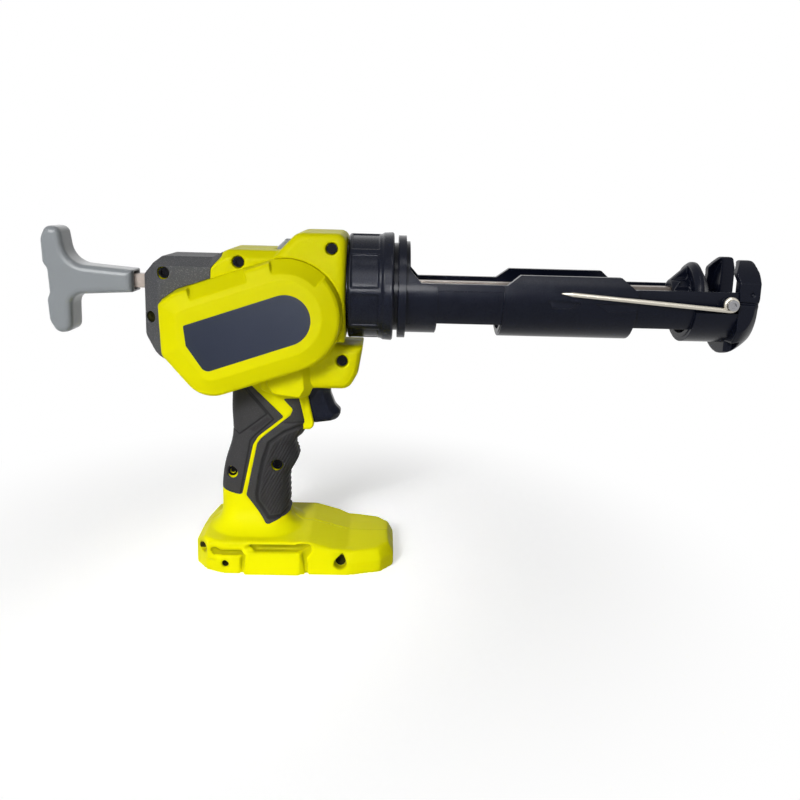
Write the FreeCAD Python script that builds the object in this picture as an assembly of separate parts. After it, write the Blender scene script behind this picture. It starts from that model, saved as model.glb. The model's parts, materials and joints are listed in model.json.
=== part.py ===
import FreeCAD, Part
import math
import os
from FreeCAD import Vector

os.makedirs("parts", exist_ok=True)

# A cordless caulking tool, in millimetres.  The base stands on Z = 0 and is centred on X = 0, Y = 0.
# +X is the nose, +Y the left side, +Z up.  Heights marked "from the barrel axis" are added to that axis.

# Frame and fits
BARREL_AXIS_HEIGHT = 190.0
TURNING_GAP = 0.3
SHAFT_FIT = 0.05
SLIDE_FIT = 0.15
SHELL_WALL = 3.0
SKIN_DEPTH = 1.5

# Base of the pistol grip
BASE_LENGTH = 134.0
BASE_WIDTH = 76.0
BASE_FRONT_HEIGHT = 15.5
BASE_REAR_HEIGHT = 22.5
BASE_REAR_DROP = 8.0
BASE_REAR_SLOPE = 7.0
BASE_SLOPE_REAR = 10.0
BASE_SLOPE_FRONT = 36.0
BASE_CROWN = 1.6
BASE_EDGE = 1.2
BASE_CORNER = 4.0
BASE_FRONT_CUT = 29.0
BASE_REAR_CUT = 20.0
BASE_CORNER_STEP = 18.0
BASE_RIM = 8.0
BASE_PAD_LENGTH = 40.0
BASE_PAD_HEIGHT = 15.6
BASE_PAD_CENTRE = -12.5
BASE_PAD_DEPTH = 2.0
BASE_LEDGE_HEIGHT = 3.6
BASE_LEDGE_DEPTH = 2.0
BASE_SIDE_HOLE = 4.8
BASE_SIDE_HOLE_X = -45.0
LANYARD_HOLE = 7.0
LANYARD_HOLE_X = 31.5
HOLE_DEPTH = 4.5

# Battery socket in the grip
SOCKET_LENGTH = 28.0
SOCKET_WIDTH = 24.0
SOCKET_LOW = 14.0
SOCKET_DEPTH = 54.0
SOCKET_CENTRE = -28.0
SOCKET_WALL = 2.0
TERMINAL_BLOCK = 8.0
TERMINAL_LENGTH = 11.0

# Pistol grip
GRIP_WIDTH = 35.0
GRIP_CORNER = 13.0
GRIP_SMOOTHNESS = 3
GRIP_FLARE = 14.0

# Gear housing
BODY_WIDTH = 60.0
BODY_REAR = -98.0
BODY_REAR_TOP = 18.0
BODY_DECK = 23.5
BODY_STEP_REAR = -54.0
BODY_STEP_FRONT = -43.0
BODY_REAR_FLAT = 36.0
BODY_CORNER = 12.0
NOSE_WIDTH = 67.0
NOSE_TOP = 35.5
NOSE_FRONT = 32.0
NOSE_BOTTOM = -34.0
NOSE_ROUND = 5.0
CHIN_WIDTH = 46.0
CHIN_REACH = 11.5
CHIN_TOP = -37.8
CHIN_BOTTOM = -67.0
CHIN_ROUND = 6.0
BROW_WIDTH = 44.0
BROW_ROUND = 3.0

# Gear cover on the right side
COVER_TILT = 19.0
COVER_RADIUS = 35.0
COVER_CENTRE_X = -6.0
COVER_CENTRE_Z = -17.0
COVER_REAR = -84.0
COVER_SEAT = 1.0
COVER_SIDE_HEIGHT = 11.5
COVER_DOME = 5.0
COVER_DRAFT = 1.5
COVER_BAND = 11.0
FACET_LOW = 5.0
FACET_INNER = 7.0
LABEL_RADIUS = 16.0
LABEL_REAR = -67.5
LABEL_THICKNESS = 0.5

# Drive train: a toothed rod over a pinion, a final gear, an idler and the gearbox pinion
ROD_SIZE = 9.0
RACK_MODULE = 1.25
RACK_PINION_TEETH = 16
GEAR_MODULE = 1.0
FINAL_TEETH = 50
IDLER_TEETH = 30
DRIVE_TEETH = 14
GEAR_WIDTH = 8.0
GEAR_BACKLASH = 0.16
ADDENDUM = 0.9
DEDENDUM = 1.2
RACK_RUN_OUT = 3
PRESSURE_ANGLE = 20.0
PINION_X = -6.0
PINION_WIDTH = 12.0
PINION_SHAFT = 8.0
IDLER_AXLE = 5.0
DRIVE_SHAFT = 5.0
GEAR_PLATE = 2.5
GEAR_PLATE_INSET = 2.0
GEAR_OPENING_INSET = 4.0
GEAR_SIDE_GAP = 0.5
GEAR_POST = 5.0
POST_GAP = 1.0
OUTER_PLATE_INSET = 8.0
BUSH_WALL = 2.0
MOTOR_DIAMETER = 30.0
MOTOR_LENGTH = 28.0
END_BELL_LENGTH = 5.0
GEARBOX_DIAMETER = 33.0
GEARBOX_LENGTH = 14.0

# Plunger
PLUNGER_TRAVEL = 206.0
PISTON_RADIUS = 21.5
PISTON_FRONT = 273.5
PISTON_LENGTH = 25.5
ROD_REAR = -146.0
HANDLE_REAR = -166.8
HANDLE_HALF_HEIGHT = 35.0
HANDLE_DEPTH = 24.0
HANDLE_STEM_HEIGHT = 14.7
HANDLE_BAR = 14.0
HANDLE_SWEEP = 15.0
HANDLE_STEM_FRONT = -108.0
HANDLE_ROUND = 4.0
HANDLE_PIN = 4.0
HANDLE_PIN_X = -132.0

# Cartridge carrier: mount, collar, cradle and yoke
MOUNT_BORE = 23.5
MOUNT_RADIUS = 26.8
MOUNT_FRONT = 63.0
MOUNT_FLANGE = 3.0
MOUNT_LIP = 2.7
COLLAR_REAR = 33.0
COLLAR_LENGTH = 29.5
COLLAR_RADIUS = 34.6
COLLAR_RIM = 36.0
COLLAR_RIM_LENGTH = 8.0
COLLAR_PANELS = 8
COLLAR_PANEL_DEPTH = 0.9
SLEEVE_WALL = 2.0
FLANGE_REAR = 65.5
FLANGE_THICKNESS = 5.0
FLANGE_RADIUS = 34.0
CRADLE_BORE = 26.5
CRADLE_WALL = 2.8
CRADLE_WIDE_WALL = 4.7
CRADLE_REAR_EDGE = 5.5
CRADLE_FRONT_EDGE = 4.5
CRADLE_WIDE_EDGE = 12.0
CRADLE_WIDE_REAR = 135.0
CRADLE_WIDE_FRONT = 217.0
CRADLE_SHELL_REAR = 257.0
CRADLE_FRONT = 284.0
WINDOW_WIDTH = 40.0
RAIL_LOW = 1.0
RAIL_PROUD = 0.8
WIRE_POCKET_DEPTH = 2.4
YOKE_LENGTH = 13.5
YOKE_RADIUS = 34.4
YOKE_CENTRE = -5.0
YOKE_WIDTH = 61.4
YOKE_OVERHANG = 2.0
YOKE_SLOT = 26.0
YOKE_PRONG_TOP = 24.5
YOKE_PIN = 1.8

# Seal-piercing wire
WIRE_DIAMETER = 3.0
WIRE_LENGTH = 109.0
WIRE_PIVOT_X = 278.0
WIRE_PIVOT_Z = -3.0
WIRE_EYE = 10.4
PIVOT_SCREW = 4.0
PIVOT_HEAD = 7.0
WIRE_POINT = 7.0
WIRE_CURL = 318.0
WIRE_REST_TILT = 4.4

# Trigger and speed dial
TRIGGER_WIDTH = 19.0
TRIGGER_TRAVEL = 7.0
TRIGGER_TAIL = 0.0
DIAL_RADIUS = 10.0
DIAL_LENGTH = 12.0
DIAL_REAR = -14.5
DIAL_AXIS_HEIGHT = 20.0
DIAL_SHAFT = 4.0
DIAL_SHAFT_LENGTH = 6.0
DIAL_GROOVE = 0.6
DIAL_GROOVES = 20
DIAL_GAP = 0.6

# Switch and controller board
SWITCH_REAR = -36.0
SWITCH_FRONT = -8.5
SWITCH_LOW = -95.0
SWITCH_HIGH = -76.0
SWITCH_WIDTH = 22.0
SWITCH_BUTTON = 5.0
BOARD_LOW = 76.0
BOARD_THICKNESS = 1.6
BOARD_REAR = -40.0
BOARD_FRONT = -10.0
BOARD_WIDTH = 24.0
POT_SIZE = 16.0
POT_LENGTH = 9.0

# Fasteners
SCREW_HOLE = 8.0
SCREW_HEAD = 6.6
SCREW_SHANK = 3.5
SCREW_HEAD_HEIGHT = 3.0
SCREW_SINK = 5.0

EVERYWHERE = 600.0


def along_x(x, height=0.0, y=0.0):
    """Point at x, y and a height measured from the barrel axis."""
    return Vector(x, y, BARREL_AXIS_HEIGHT + height)


def unit(vector):
    """The same direction with length one."""
    return Vector(vector).normalize()


def corner_arc(before, corner, after, radius):
    """Start, middle and end of the arc that rounds one corner."""
    back = unit(before - corner)
    ahead = unit(after - corner)
    half = back.getAngle(ahead) / 2
    reach = radius / math.tan(half)
    middle = corner + unit(back + ahead) * (radius / math.sin(half) - radius)
    return corner + back * reach, middle, corner + ahead * reach


def rounded_wire(corners, radii):
    """Closed wire through corners in one plane, each corner rounded by its own radius."""
    count = len(corners)
    stations = []
    for index, corner in enumerate(corners):
        if radii[index] > 0:
            stations.append(corner_arc(corners[index - 1], corner, corners[(index + 1) % count], radii[index]))
        else:
            stations.append((corner, None, corner))
    edges = []
    for index, (start, middle, end) in enumerate(stations):
        if middle is not None:
            edges.append(Part.Arc(start, middle, end).toShape())
        following = stations[(index + 1) % count][0]
        if end.distanceToPoint(following) > 1e-5:
            edges.append(Part.LineSegment(end, following).toShape())
    return Part.Wire(edges)


def turning_side(points):
    """Plus one where the outline runs anticlockwise, minus one where it runs clockwise."""
    area = 0.0
    for index, point in enumerate(points):
        before = points[index - 1]
        area += before[0] * point[1] - point[0] * before[1]
    return math.copysign(1.0, area)


def inset_outline(points, radii, inset):
    """Outline moved inwards by the inset, with its corner radii changed to stay parallel."""
    side = turning_side(points)
    count = len(points)
    moved = []
    moved_radii = []
    for index, point in enumerate(points):
        before = points[index - 1]
        after = points[(index + 1) % count]
        first = unit(Vector(point[0] - before[0], point[1] - before[1], 0))
        second = unit(Vector(after[0] - point[0], after[1] - point[1], 0))
        bend = side * first.cross(second).z
        share = inset / (1 + first.dot(second))
        moved.append((
            point[0] + side * share * (-first.y - second.y),
            point[1] + side * share * (first.x + second.x),
        ))
        radius = radii[index]
        if radius > 0:
            radius = max(radius - inset * math.copysign(1.0, bend), 0.1)
        moved_radii.append(radius)
    return moved, moved_radii


def even_radii(points, radius):
    """One corner radius for every point."""
    return [radius] * len(points)


def side_wire(points, radii, y, inset=0.0):
    """Outline seen from the side, at one distance from the middle plane."""
    moved, moved_radii = inset_outline(points, radii, inset)
    corners = [along_x(x, height, y) for x, height in moved]
    return rounded_wire(corners, moved_radii)


def side_slab(points, radii, y_from, y_to, inset=0.0):
    """Straight plate with a side outline, between two distances from the middle plane."""
    face = Part.Face(side_wire(points, radii, y_from, inset))
    return face.extrude(Vector(0, y_to - y_from, 0))


def side_taper(points, radii, stations):
    """Ruled solid through a side outline at several (y, inset) stations."""
    wires = [side_wire(points, radii, y, inset) for y, inset in stations]
    return Part.makeLoft(wires, True, True)


def plan_wire(points, radii, z, inset=0.0):
    """Outline seen from above, at one height over the floor."""
    moved, moved_radii = inset_outline(points, radii, inset)
    corners = [Vector(x, y, z) for x, y in moved]
    return rounded_wire(corners, moved_radii)


def plan_slab(points, radii, z_from, z_to, inset=0.0):
    """Upright prism with a plan outline."""
    face = Part.Face(plan_wire(points, radii, z_from, inset))
    return face.extrude(Vector(0, 0, z_to - z_from))


def cross_loft(stations, inset=0.0):
    """Ruled solid along X through outlines of (y, height from the barrel axis) points at each x."""
    wires = []
    for x, points in stations:
        moved, moved_radii = inset_outline(points, even_radii(points, 0), inset)
        wires.append(rounded_wire([along_x(x, height, y) for y, height in moved], moved_radii))
    return Part.makeLoft(wires, True, True)


def mirrored(points):
    """Outline of (x, y) points on one side of y = 0, closed by its mirror image."""
    return points + [(x, -y) for x, y in reversed(points)]


def box(x_from, x_to, y_from, y_to, z_from, z_to):
    """Upright box between two corners, heights over the floor."""
    return Part.makeBox(x_to - x_from, y_to - y_from, z_to - z_from, Vector(x_from, y_from, z_from))


def axis_box(x_from, x_to, half_width, low, high):
    """Box about the middle plane, heights from the barrel axis."""
    floor = BARREL_AXIS_HEIGHT
    return box(x_from, x_to, -half_width, half_width, floor + low, floor + high)


def round_x(radius, x_from, x_to, height=0.0, y=0.0):
    """Cylinder along X."""
    return Part.makeCylinder(radius, x_to - x_from, along_x(x_from, height, y), Vector(1, 0, 0))


def tube_x(radius, bore, x_from, x_to):
    """Tube along the barrel axis."""
    return round_x(radius, x_from, x_to).cut(round_x(bore, x_from - 1, x_to + 1))


def round_y(radius, y_from, y_to, x, height):
    """Cylinder along Y."""
    return Part.makeCylinder(radius, y_to - y_from, along_x(x, height, y_from), Vector(0, 1, 0))


def rounded_slab(points, radii, half_width, rounding, inset=0.0):
    """Plate about the middle plane whose two rims are rounded in three steps."""
    width = half_width - inset
    stations = []
    for step in range(4):
        angle = math.radians(90 - 30 * step)
        reach = width - rounding + rounding * math.sin(angle)
        stations.append((reach, inset + rounding * (1 - math.cos(angle))))
    opposite = [(-reach, depth) for reach, depth in reversed(stations)]
    return side_taper(points, radii, stations + opposite)


def halves(shape):
    """Right and left half of a shape about the middle plane."""
    right = shape.common(box(-EVERYWHERE, EVERYWHERE, -EVERYWHERE, 0, -EVERYWHERE, EVERYWHERE))
    left = shape.common(box(-EVERYWHERE, EVERYWHERE, 0, EVERYWHERE, -EVERYWHERE, EVERYWHERE))
    return right, left


def joined(shapes):
    """All shapes fused into one."""
    return shapes[0].multiFuse(shapes[1:]).removeSplitter()


def save(name, shape):
    """Write one sub-part and print its solids, volume and validity."""
    print(name, len(shape.Solids), round(shape.Volume, 1), shape.isValid())
    shape.exportStep("parts/" + name + ".step")


# Base: a low faceted foot with a fairing up to the grip
def base_outline():
    """Plan of the foot, with two facets at each corner."""
    front = BASE_LENGTH / 2
    side = BASE_WIDTH / 2
    points = [
        (-front, -side + BASE_CORNER_STEP),
        (-front + BASE_REAR_CUT * 0.45, -side + BASE_CORNER_STEP * 0.3),
        (-front + BASE_REAR_CUT, -side),
        (front - BASE_FRONT_CUT, -side),
        (front - BASE_FRONT_CUT * 0.3, -side + BASE_CORNER_STEP * 0.35),
        (front, -side + BASE_CORNER_STEP),
    ]
    return mirrored(points)


def roof_section(x, top, inset):
    """Cross section of the foot under its roof: upright sides, chamfered edges and a low ridge."""
    side = BASE_WIDTH / 2 - inset
    beyond = side + 1
    high = top - inset
    points = [
        (-beyond, inset),
        (beyond, inset),
        (beyond, high - BASE_EDGE - 1),
        (side - BASE_EDGE, high),
        (0, high + BASE_CROWN),
        (-side + BASE_EDGE, high),
        (-beyond, high - BASE_EDGE - 1),
    ]
    corners = [Vector(x, y, z) for y, z in points]
    return Part.makePolygon(corners + corners[:1])


def base_body(inset):
    """Foot of the tool: tall under the grip, with a faceted slope down to a low front."""
    end = BASE_LENGTH / 2
    stations = [
        (-end - 1, BASE_REAR_HEIGHT - BASE_REAR_DROP),
        (-end + BASE_REAR_SLOPE, BASE_REAR_HEIGHT),
        (BASE_SLOPE_REAR, BASE_REAR_HEIGHT),
        (BASE_SLOPE_FRONT, BASE_FRONT_HEIGHT),
        (end + 1, BASE_FRONT_HEIGHT),
    ]
    roof = Part.makeLoft([roof_section(x, top, inset) for x, top in stations], True, True)
    outline = base_outline()
    upright = plan_slab(outline, even_radii(outline, BASE_CORNER), inset, 2 * BASE_REAR_HEIGHT, inset)
    return roof.common(upright)


# Grip: a smooth loft through rounded sections, flared out over the foot
def grip_section(height, rear, front, half, inset):
    """Rounded rectangle around the grip at one height from the barrel axis."""
    outline = [(rear, -half), (front, -half), (front, half), (rear, half)]
    corner = GRIP_CORNER + half - GRIP_WIDTH / 2
    z = BARREL_AXIS_HEIGHT + height
    return plan_wire(outline, even_radii(outline, corner), z, inset)


def grip_body(inset):
    """Grip from inside the gear housing down into the foot."""
    half = GRIP_WIDTH / 2
    foot = BASE_REAR_HEIGHT - BARREL_AXIS_HEIGHT
    stations = [
        (-48, -44.5, 9.0, half),
        (-62, -44.5, 9.0, half),
        (-78, -44.5, 8.5, half),
        (-93, -44.2, 8.0, half),
        (-104, -44.6, 0.5, half),
        (-110, -46.0, -1.5, half),
        (-118, -48.6, 0.5, half),
        (-128, -50.8, -4.6, half),
        (-138, -51.8, -5.8, half),
        (foot + 21, -51.8, -5.6, half),
        (foot + 13, -51.9, -5.2, half + 0.05 * GRIP_FLARE),
        (foot + 7.5, -53.2, -3.6, half + 0.25 * GRIP_FLARE),
        (foot + 3.5, -56.4, 0.2, half + 0.55 * GRIP_FLARE),
        (foot + 0.5, -60.6, 5.0, half + 0.9 * GRIP_FLARE),
        (foot - 3, -62.5, 7.5, half + GRIP_FLARE),
    ]
    wires = [grip_section(height, rear, front, wide, inset) for height, rear, front, wide in stations]
    return Part.makeLoft(wires, True, False, False, GRIP_SMOOTHNESS)


# Gear housing: rear body, nose and chin
def rear_body(inset):
    """Rear of the gear housing with chamfered corners and a stepped top."""
    side = [
        (BODY_REAR, 6.0),
        (BODY_REAR + BODY_CORNER, BODY_REAR_TOP),
        (BODY_STEP_REAR, BODY_REAR_TOP),
        (BODY_STEP_FRONT, BODY_DECK),
        (0, BODY_DECK),
        (0, -44),
        (-57, -62),
        (-72, -54),
        (-90, -43),
        (BODY_REAR, -33),
    ]
    side_radii = [2, 2, 8, 6, 0, 0, 4, 0, 4, 6]
    half = BODY_WIDTH / 2
    plan = mirrored([
        (BODY_REAR, -BODY_REAR_FLAT / 2),
        (BODY_REAR + BODY_CORNER, -half),
        (1, -half),
    ])
    low = -90.0
    rear_section = [
        (-half, low),
        (half, low),
        (half, BODY_REAR_TOP - 5.5),
        (half - BODY_CORNER, BODY_REAR_TOP),
        (-half + BODY_CORNER, BODY_REAR_TOP),
        (-half, BODY_REAR_TOP - 5.5),
    ]
    deck_section = [
        (-half, low),
        (half, low),
        (half, BODY_DECK - 5),
        (half - 6, BODY_DECK),
        (-half + 6, BODY_DECK),
        (-half, BODY_DECK - 5),
    ]
    bar = cross_loft([
        (BODY_REAR - 10, rear_section),
        (BODY_STEP_REAR, rear_section),
        (BODY_STEP_FRONT, deck_section),
        (10, deck_section),
    ], inset)
    sides = side_slab(side, side_radii, -BODY_WIDTH, BODY_WIDTH, inset)
    upright = plan_slab(plan, [2, 4, 0, 0, 4, 2], 0, EVERYWHERE, inset)
    return sides.common(upright).common(bar)


def nose_body(inset):
    """Tall front of the gear housing behind the collar."""
    side = [
        (-14, NOSE_BOTTOM),
        (NOSE_FRONT, NOSE_BOTTOM),
        (NOSE_FRONT, NOSE_TOP),
        (1, NOSE_TOP),
        (-14, BODY_DECK - 4),
    ]
    return rounded_slab(side, [0, 0, 6, 9, 0], NOSE_WIDTH / 2, NOSE_ROUND, inset)


def chin_body(inset):
    """Low front of the housing under the collar."""
    front = NOSE_FRONT + CHIN_REACH
    side = [
        (-22, CHIN_BOTTOM),
        (front - 9, CHIN_BOTTOM),
        (front - 3, CHIN_BOTTOM + 11),
        (front, CHIN_TOP),
        (NOSE_FRONT - 8, CHIN_TOP),
        (NOSE_FRONT - 8, NOSE_BOTTOM + 10),
        (-22, NOSE_BOTTOM + 10),
    ]
    return rounded_slab(side, [0, 8, 10, 0, 0, 0, 0], CHIN_WIDTH / 2, CHIN_ROUND, inset)


def brow_body(inset):
    """Raised block between the gear cover and the trigger."""
    side = [
        (-24, CHIN_BOTTOM + 16),
        (-24, CHIN_BOTTOM - 1),
        (-10, CHIN_BOTTOM - 6.5),
        (6, CHIN_BOTTOM - 6.5),
        (11, CHIN_BOTTOM + 2),
        (11, CHIN_BOTTOM + 16),
    ]
    return rounded_slab(side, [0, 4, 4, 4, 4, 0], BROW_WIDTH / 2, BROW_ROUND, inset)


def drum_body(inset):
    """Round-fronted body of the housing behind the gear cover."""
    half = BODY_WIDTH / 2 - max(COVER_SEAT, inset)
    return side_slab(COVER_OUTLINE, COVER_RADII, -half, half, inset - COVER_DRAFT)


def trigger_strip(inset):
    """Upright lip of the housing around the trigger's opening."""
    side = [
        (-10, CHIN_BOTTOM - 2),
        (6, CHIN_BOTTOM - 2),
        (11.5, -94),
        (9, -97),
        (-10, -97),
    ]
    return side_slab(side, [0, 0, 2, 2, 0], -13 + inset, 13 - inset, inset)


def outer_form(inset):
    """Whole closed outside of the two housing halves, moved inwards by the inset."""
    forms = [
        rear_body(inset),
        nose_body(inset),
        chin_body(inset),
        brow_body(inset),
        drum_body(inset),
        trigger_strip(inset),
        grip_body(inset),
        base_body(inset),
    ]
    return joined(forms)


# Gear cover
def tilted(forward, up, centre_x, centre_z):
    """Point given along and across the cover's tilted axis from a centre."""
    angle = math.radians(COVER_TILT)
    x = centre_x + forward * math.cos(angle) - up * math.sin(angle)
    z = centre_z + forward * math.sin(angle) + up * math.cos(angle)
    return x, z


def on_upper_line(x, radius, centre_x, centre_z):
    """Point of the tilted upper edge at one x."""
    start_x, start_z = tilted(0, radius, centre_x, centre_z)
    return x, start_z + (x - start_x) * math.tan(math.radians(COVER_TILT))


def on_lower_line(x, radius, centre_x, centre_z):
    """Point of the tilted lower edge at one x."""
    return on_upper_line(x, -radius, centre_x, centre_z)


def stadium(radius, centre_x, centre_z, rear, rear_height, slope_x):
    """Outline with a round front, tilted straight edges and a cut-off rear, with its corner radii."""
    upper_x, upper_z = on_upper_line(rear + 10, radius, centre_x, centre_z)
    points = [
        (rear, upper_z - 7),
        (upper_x, upper_z),
        tilted(radius, radius, centre_x, centre_z),
        tilted(radius, -radius, centre_x, centre_z),
        on_lower_line(slope_x, radius, centre_x, centre_z),
        (rear + 1.5, upper_z - 7 - rear_height),
    ]
    return points


COVER_OUTLINE = stadium(COVER_RADIUS, COVER_CENTRE_X, COVER_CENTRE_Z, COVER_REAR, 32.0, COVER_REAR + 27)
COVER_RADII = [3.0, 4.0, COVER_RADIUS, COVER_RADIUS, 20.0, 6.0]
COVER_BASE_Y = -BODY_WIDTH / 2 + COVER_SEAT
COVER_EDGE_Y = COVER_BASE_Y - COVER_SIDE_HEIGHT
COVER_TOP_Y = COVER_EDGE_Y - COVER_DOME


def cover_form(outset):
    """Solid bulge of the gear cover, grown outwards by the outset."""
    stations = [
        (COVER_BASE_Y, -COVER_DRAFT - outset),
        (COVER_EDGE_Y - outset, -outset),
        (COVER_EDGE_Y - 1.4 - outset, 1.6 - outset),
        (COVER_TOP_Y - outset, COVER_BAND - outset),
    ]
    return side_taper(COVER_OUTLINE, COVER_RADII, stations)


def facet_section(start, depth):
    """Triangle across the cover's edge that cuts one facet, sunk by a depth below the outer facet."""
    rise = Vector(-math.sin(math.radians(COVER_TILT)), 0, math.cos(math.radians(COVER_TILT)))
    out = Vector(0, -1, 0)
    low = start + out * FACET_LOW
    band_rise = COVER_DOME * FACET_INNER / COVER_BAND
    high = start - rise * FACET_INNER + out * (COVER_SIDE_HEIGHT + band_rise)
    slope = unit(high - low)
    inward = unit(slope.cross(rise.cross(out)))
    lower_end = low - slope * 8 - inward * depth
    upper_end = high + slope * 6 - inward * depth
    corner = lower_end + out * (upper_end - lower_end).dot(out)
    return Part.Face(Part.makePolygon([lower_end, upper_end, corner, lower_end]))


def cover_facets(depth):
    """Two facets cut from the cover's upper edge: one straight, one round the front."""
    rear_x, rear_z = on_upper_line(COVER_REAR + 18, COVER_RADIUS, COVER_CENTRE_X, COVER_CENTRE_Z)
    front_x, front_z = tilted(-14, COVER_RADIUS, COVER_CENTRE_X, COVER_CENTRE_Z)
    run = Vector(front_x - rear_x, 0, front_z - rear_z)
    straight = facet_section(along_x(rear_x, rear_z, COVER_BASE_Y), depth).extrude(run)
    top_x, top_z = tilted(0, COVER_RADIUS, COVER_CENTRE_X, COVER_CENTRE_Z)
    axis_point = along_x(COVER_CENTRE_X, COVER_CENTRE_Z)
    swept = facet_section(along_x(top_x, top_z, COVER_BASE_Y), depth)
    swept.rotate(axis_point, Vector(0, 1, 0), 4)
    round_front = swept.revolve(axis_point, Vector(0, 1, 0), 60)
    return straight.fuse(round_front)


LABEL_CENTRE_X = COVER_CENTRE_X + 1.2
LABEL_CENTRE_Z = COVER_CENTRE_Z - 1.2


def label_plate(clearance):
    """Rating label, a thin plate let into the cover."""
    outline = stadium(LABEL_RADIUS, LABEL_CENTRE_X, LABEL_CENTRE_Z, LABEL_REAR, 9.0, LABEL_REAR + 13)
    outline = outline[2:] + [on_upper_line(LABEL_REAR, LABEL_RADIUS, LABEL_CENTRE_X, LABEL_CENTRE_Z)]
    radii = [LABEL_RADIUS, LABEL_RADIUS, 5.0, 1.0, 1.0]
    return side_slab(outline, radii, COVER_TOP_Y, COVER_TOP_Y + LABEL_THICKNESS, -clearance)


def gear_cover():
    """Hollow cover with its facets and the seat of the label."""
    shell = cover_form(0).cut(cover_facets(0))
    hollow = cover_form(-SHELL_WALL).cut(cover_facets(SHELL_WALL))
    return shell.cut(hollow).cut(label_plate(0))


# Skins moulded over the housing
REAR_SKIN_REGION = [
    (BODY_REAR - 5, 40.0),
    (-47.0, 40.0),
    (-47.0, 19.0),
    (-53.0, 12.0),
    (-54.0, -8.0),
    (-80.0, -20.0),
    (-80.0, -80.0),
    (BODY_REAR - 5, -80.0),
]
REAR_SKIN_RADII = [0, 0, 0, 4, 6, 0, 0, 0]
GRIP_REAR_REGION = [
    (-70.0, -63.0),
    (-33.0, -63.0),
    (-8.5, -87.2),
    (-25.4, -101.0),
    (-29.0, -106.8),
    (-36.6, -142.4),
    (-70.0, -137.0),
]
GRIP_REAR_RADII = [0, 0, 1, 4, 4, 2, 0]
GRIP_FRONT_REGION = [
    (-9.5, -74.5),
    (1.5, -74.5),
    (6.5, -97.5),
    (20.0, -97.5),
    (20.0, -150.0),
    (-4.0, -156.5),
    (-19.5, -162.0),
    (-33.9, -142.6),
    (-26.4, -106.0),
    (-23.4, -102.0),
    (-4.2, -86.2),
    (-2.4, -82.0),
]
GRIP_FRONT_RADII = [0, 0, 0, 0, 0, 3, 3, 2, 4, 4, 2, 2]


def skin_of(form, region, radii):
    """Layer of one form inside a side region, one skin thick."""
    cutter = side_slab(region, radii, -EVERYWHERE, EVERYWHERE)
    return form(0).cut(form(SKIN_DEPTH)).common(cutter)


# Fasteners and openings in the housing
def housing_screw_places():
    """Side places of the housing screws: x, height and the outer half width there."""
    return [
        (23.0, 26.0, NOSE_WIDTH / 2),
        (-36.0, 16.0, BODY_WIDTH / 2),
        (30.0, -47.5, CHIN_WIDTH / 2),
        (BODY_REAR + 15.0, 8.0, BODY_WIDTH / 2),
        (-43.5, -127.0, GRIP_WIDTH / 2),
        (-13.0, -121.0, GRIP_WIDTH / 2),
    ]


def screw_holes():
    """Head sinks on the right side and shank holes through both halves."""
    holes = []
    for x, height, half in housing_screw_places():
        holes.append(round_y(SCREW_HOLE / 2, -half - 5, -half + SCREW_SINK, x, height))
        holes.append(round_y(SCREW_SHANK / 2, -half, half - SCREW_SINK, x, height))
    return joined(holes)


def housing_screws():
    """Screws of the two halves, one solid each."""
    screws = []
    for x, height, half in housing_screw_places():
        head_low = -half + SCREW_SINK
        head = round_y(SCREW_HEAD / 2, head_low - SCREW_HEAD_HEIGHT, head_low, x, height)
        socket = round_y(SCREW_HEAD * 0.28, head_low - SCREW_HEAD_HEIGHT - 1, head_low - 1.2, x, height)
        shank = round_y(SCREW_SHANK / 2 - SHAFT_FIT, head_low, half - SCREW_SINK - 1, x, height)
        screws.append(head.cut(socket).fuse(shank).removeSplitter())
    return Part.makeCompound(screws)


# Drive train
RACK_PINION_RADIUS = RACK_MODULE * RACK_PINION_TEETH / 2
FINAL_RADIUS = GEAR_MODULE * FINAL_TEETH / 2
IDLER_RADIUS = GEAR_MODULE * IDLER_TEETH / 2
DRIVE_RADIUS = GEAR_MODULE * DRIVE_TEETH / 2
PINION_Z = -ROD_SIZE / 2 + ADDENDUM * RACK_MODULE - RACK_PINION_RADIUS
IDLER_X, IDLER_Z = tilted(-FINAL_RADIUS - IDLER_RADIUS, 0, PINION_X, PINION_Z)
MOTOR_X, MOTOR_Z = tilted(-FINAL_RADIUS - 2 * IDLER_RADIUS - DRIVE_RADIUS, 0, PINION_X, PINION_Z)
GEAR_PLATE_Y = -BODY_WIDTH / 2 + SHELL_WALL + GEAR_PLATE
GEAR_REAR_Y = GEAR_PLATE_Y - GEAR_PLATE - GEAR_SIDE_GAP
GEAR_FRONT_Y = GEAR_REAR_Y - GEAR_WIDTH
OUTER_PLATE_Y = GEAR_FRONT_Y - GEAR_SIDE_GAP


def involute_point(base_radius, radius, start_angle, side):
    """Point of an involute flank at one radius, on one side of the tooth."""
    roll = math.sqrt(max((radius / base_radius) ** 2 - 1, 0))
    angle = start_angle - (roll - math.atan(roll))
    return Vector(radius * math.cos(side * angle), 0, radius * math.sin(side * angle))


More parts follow.
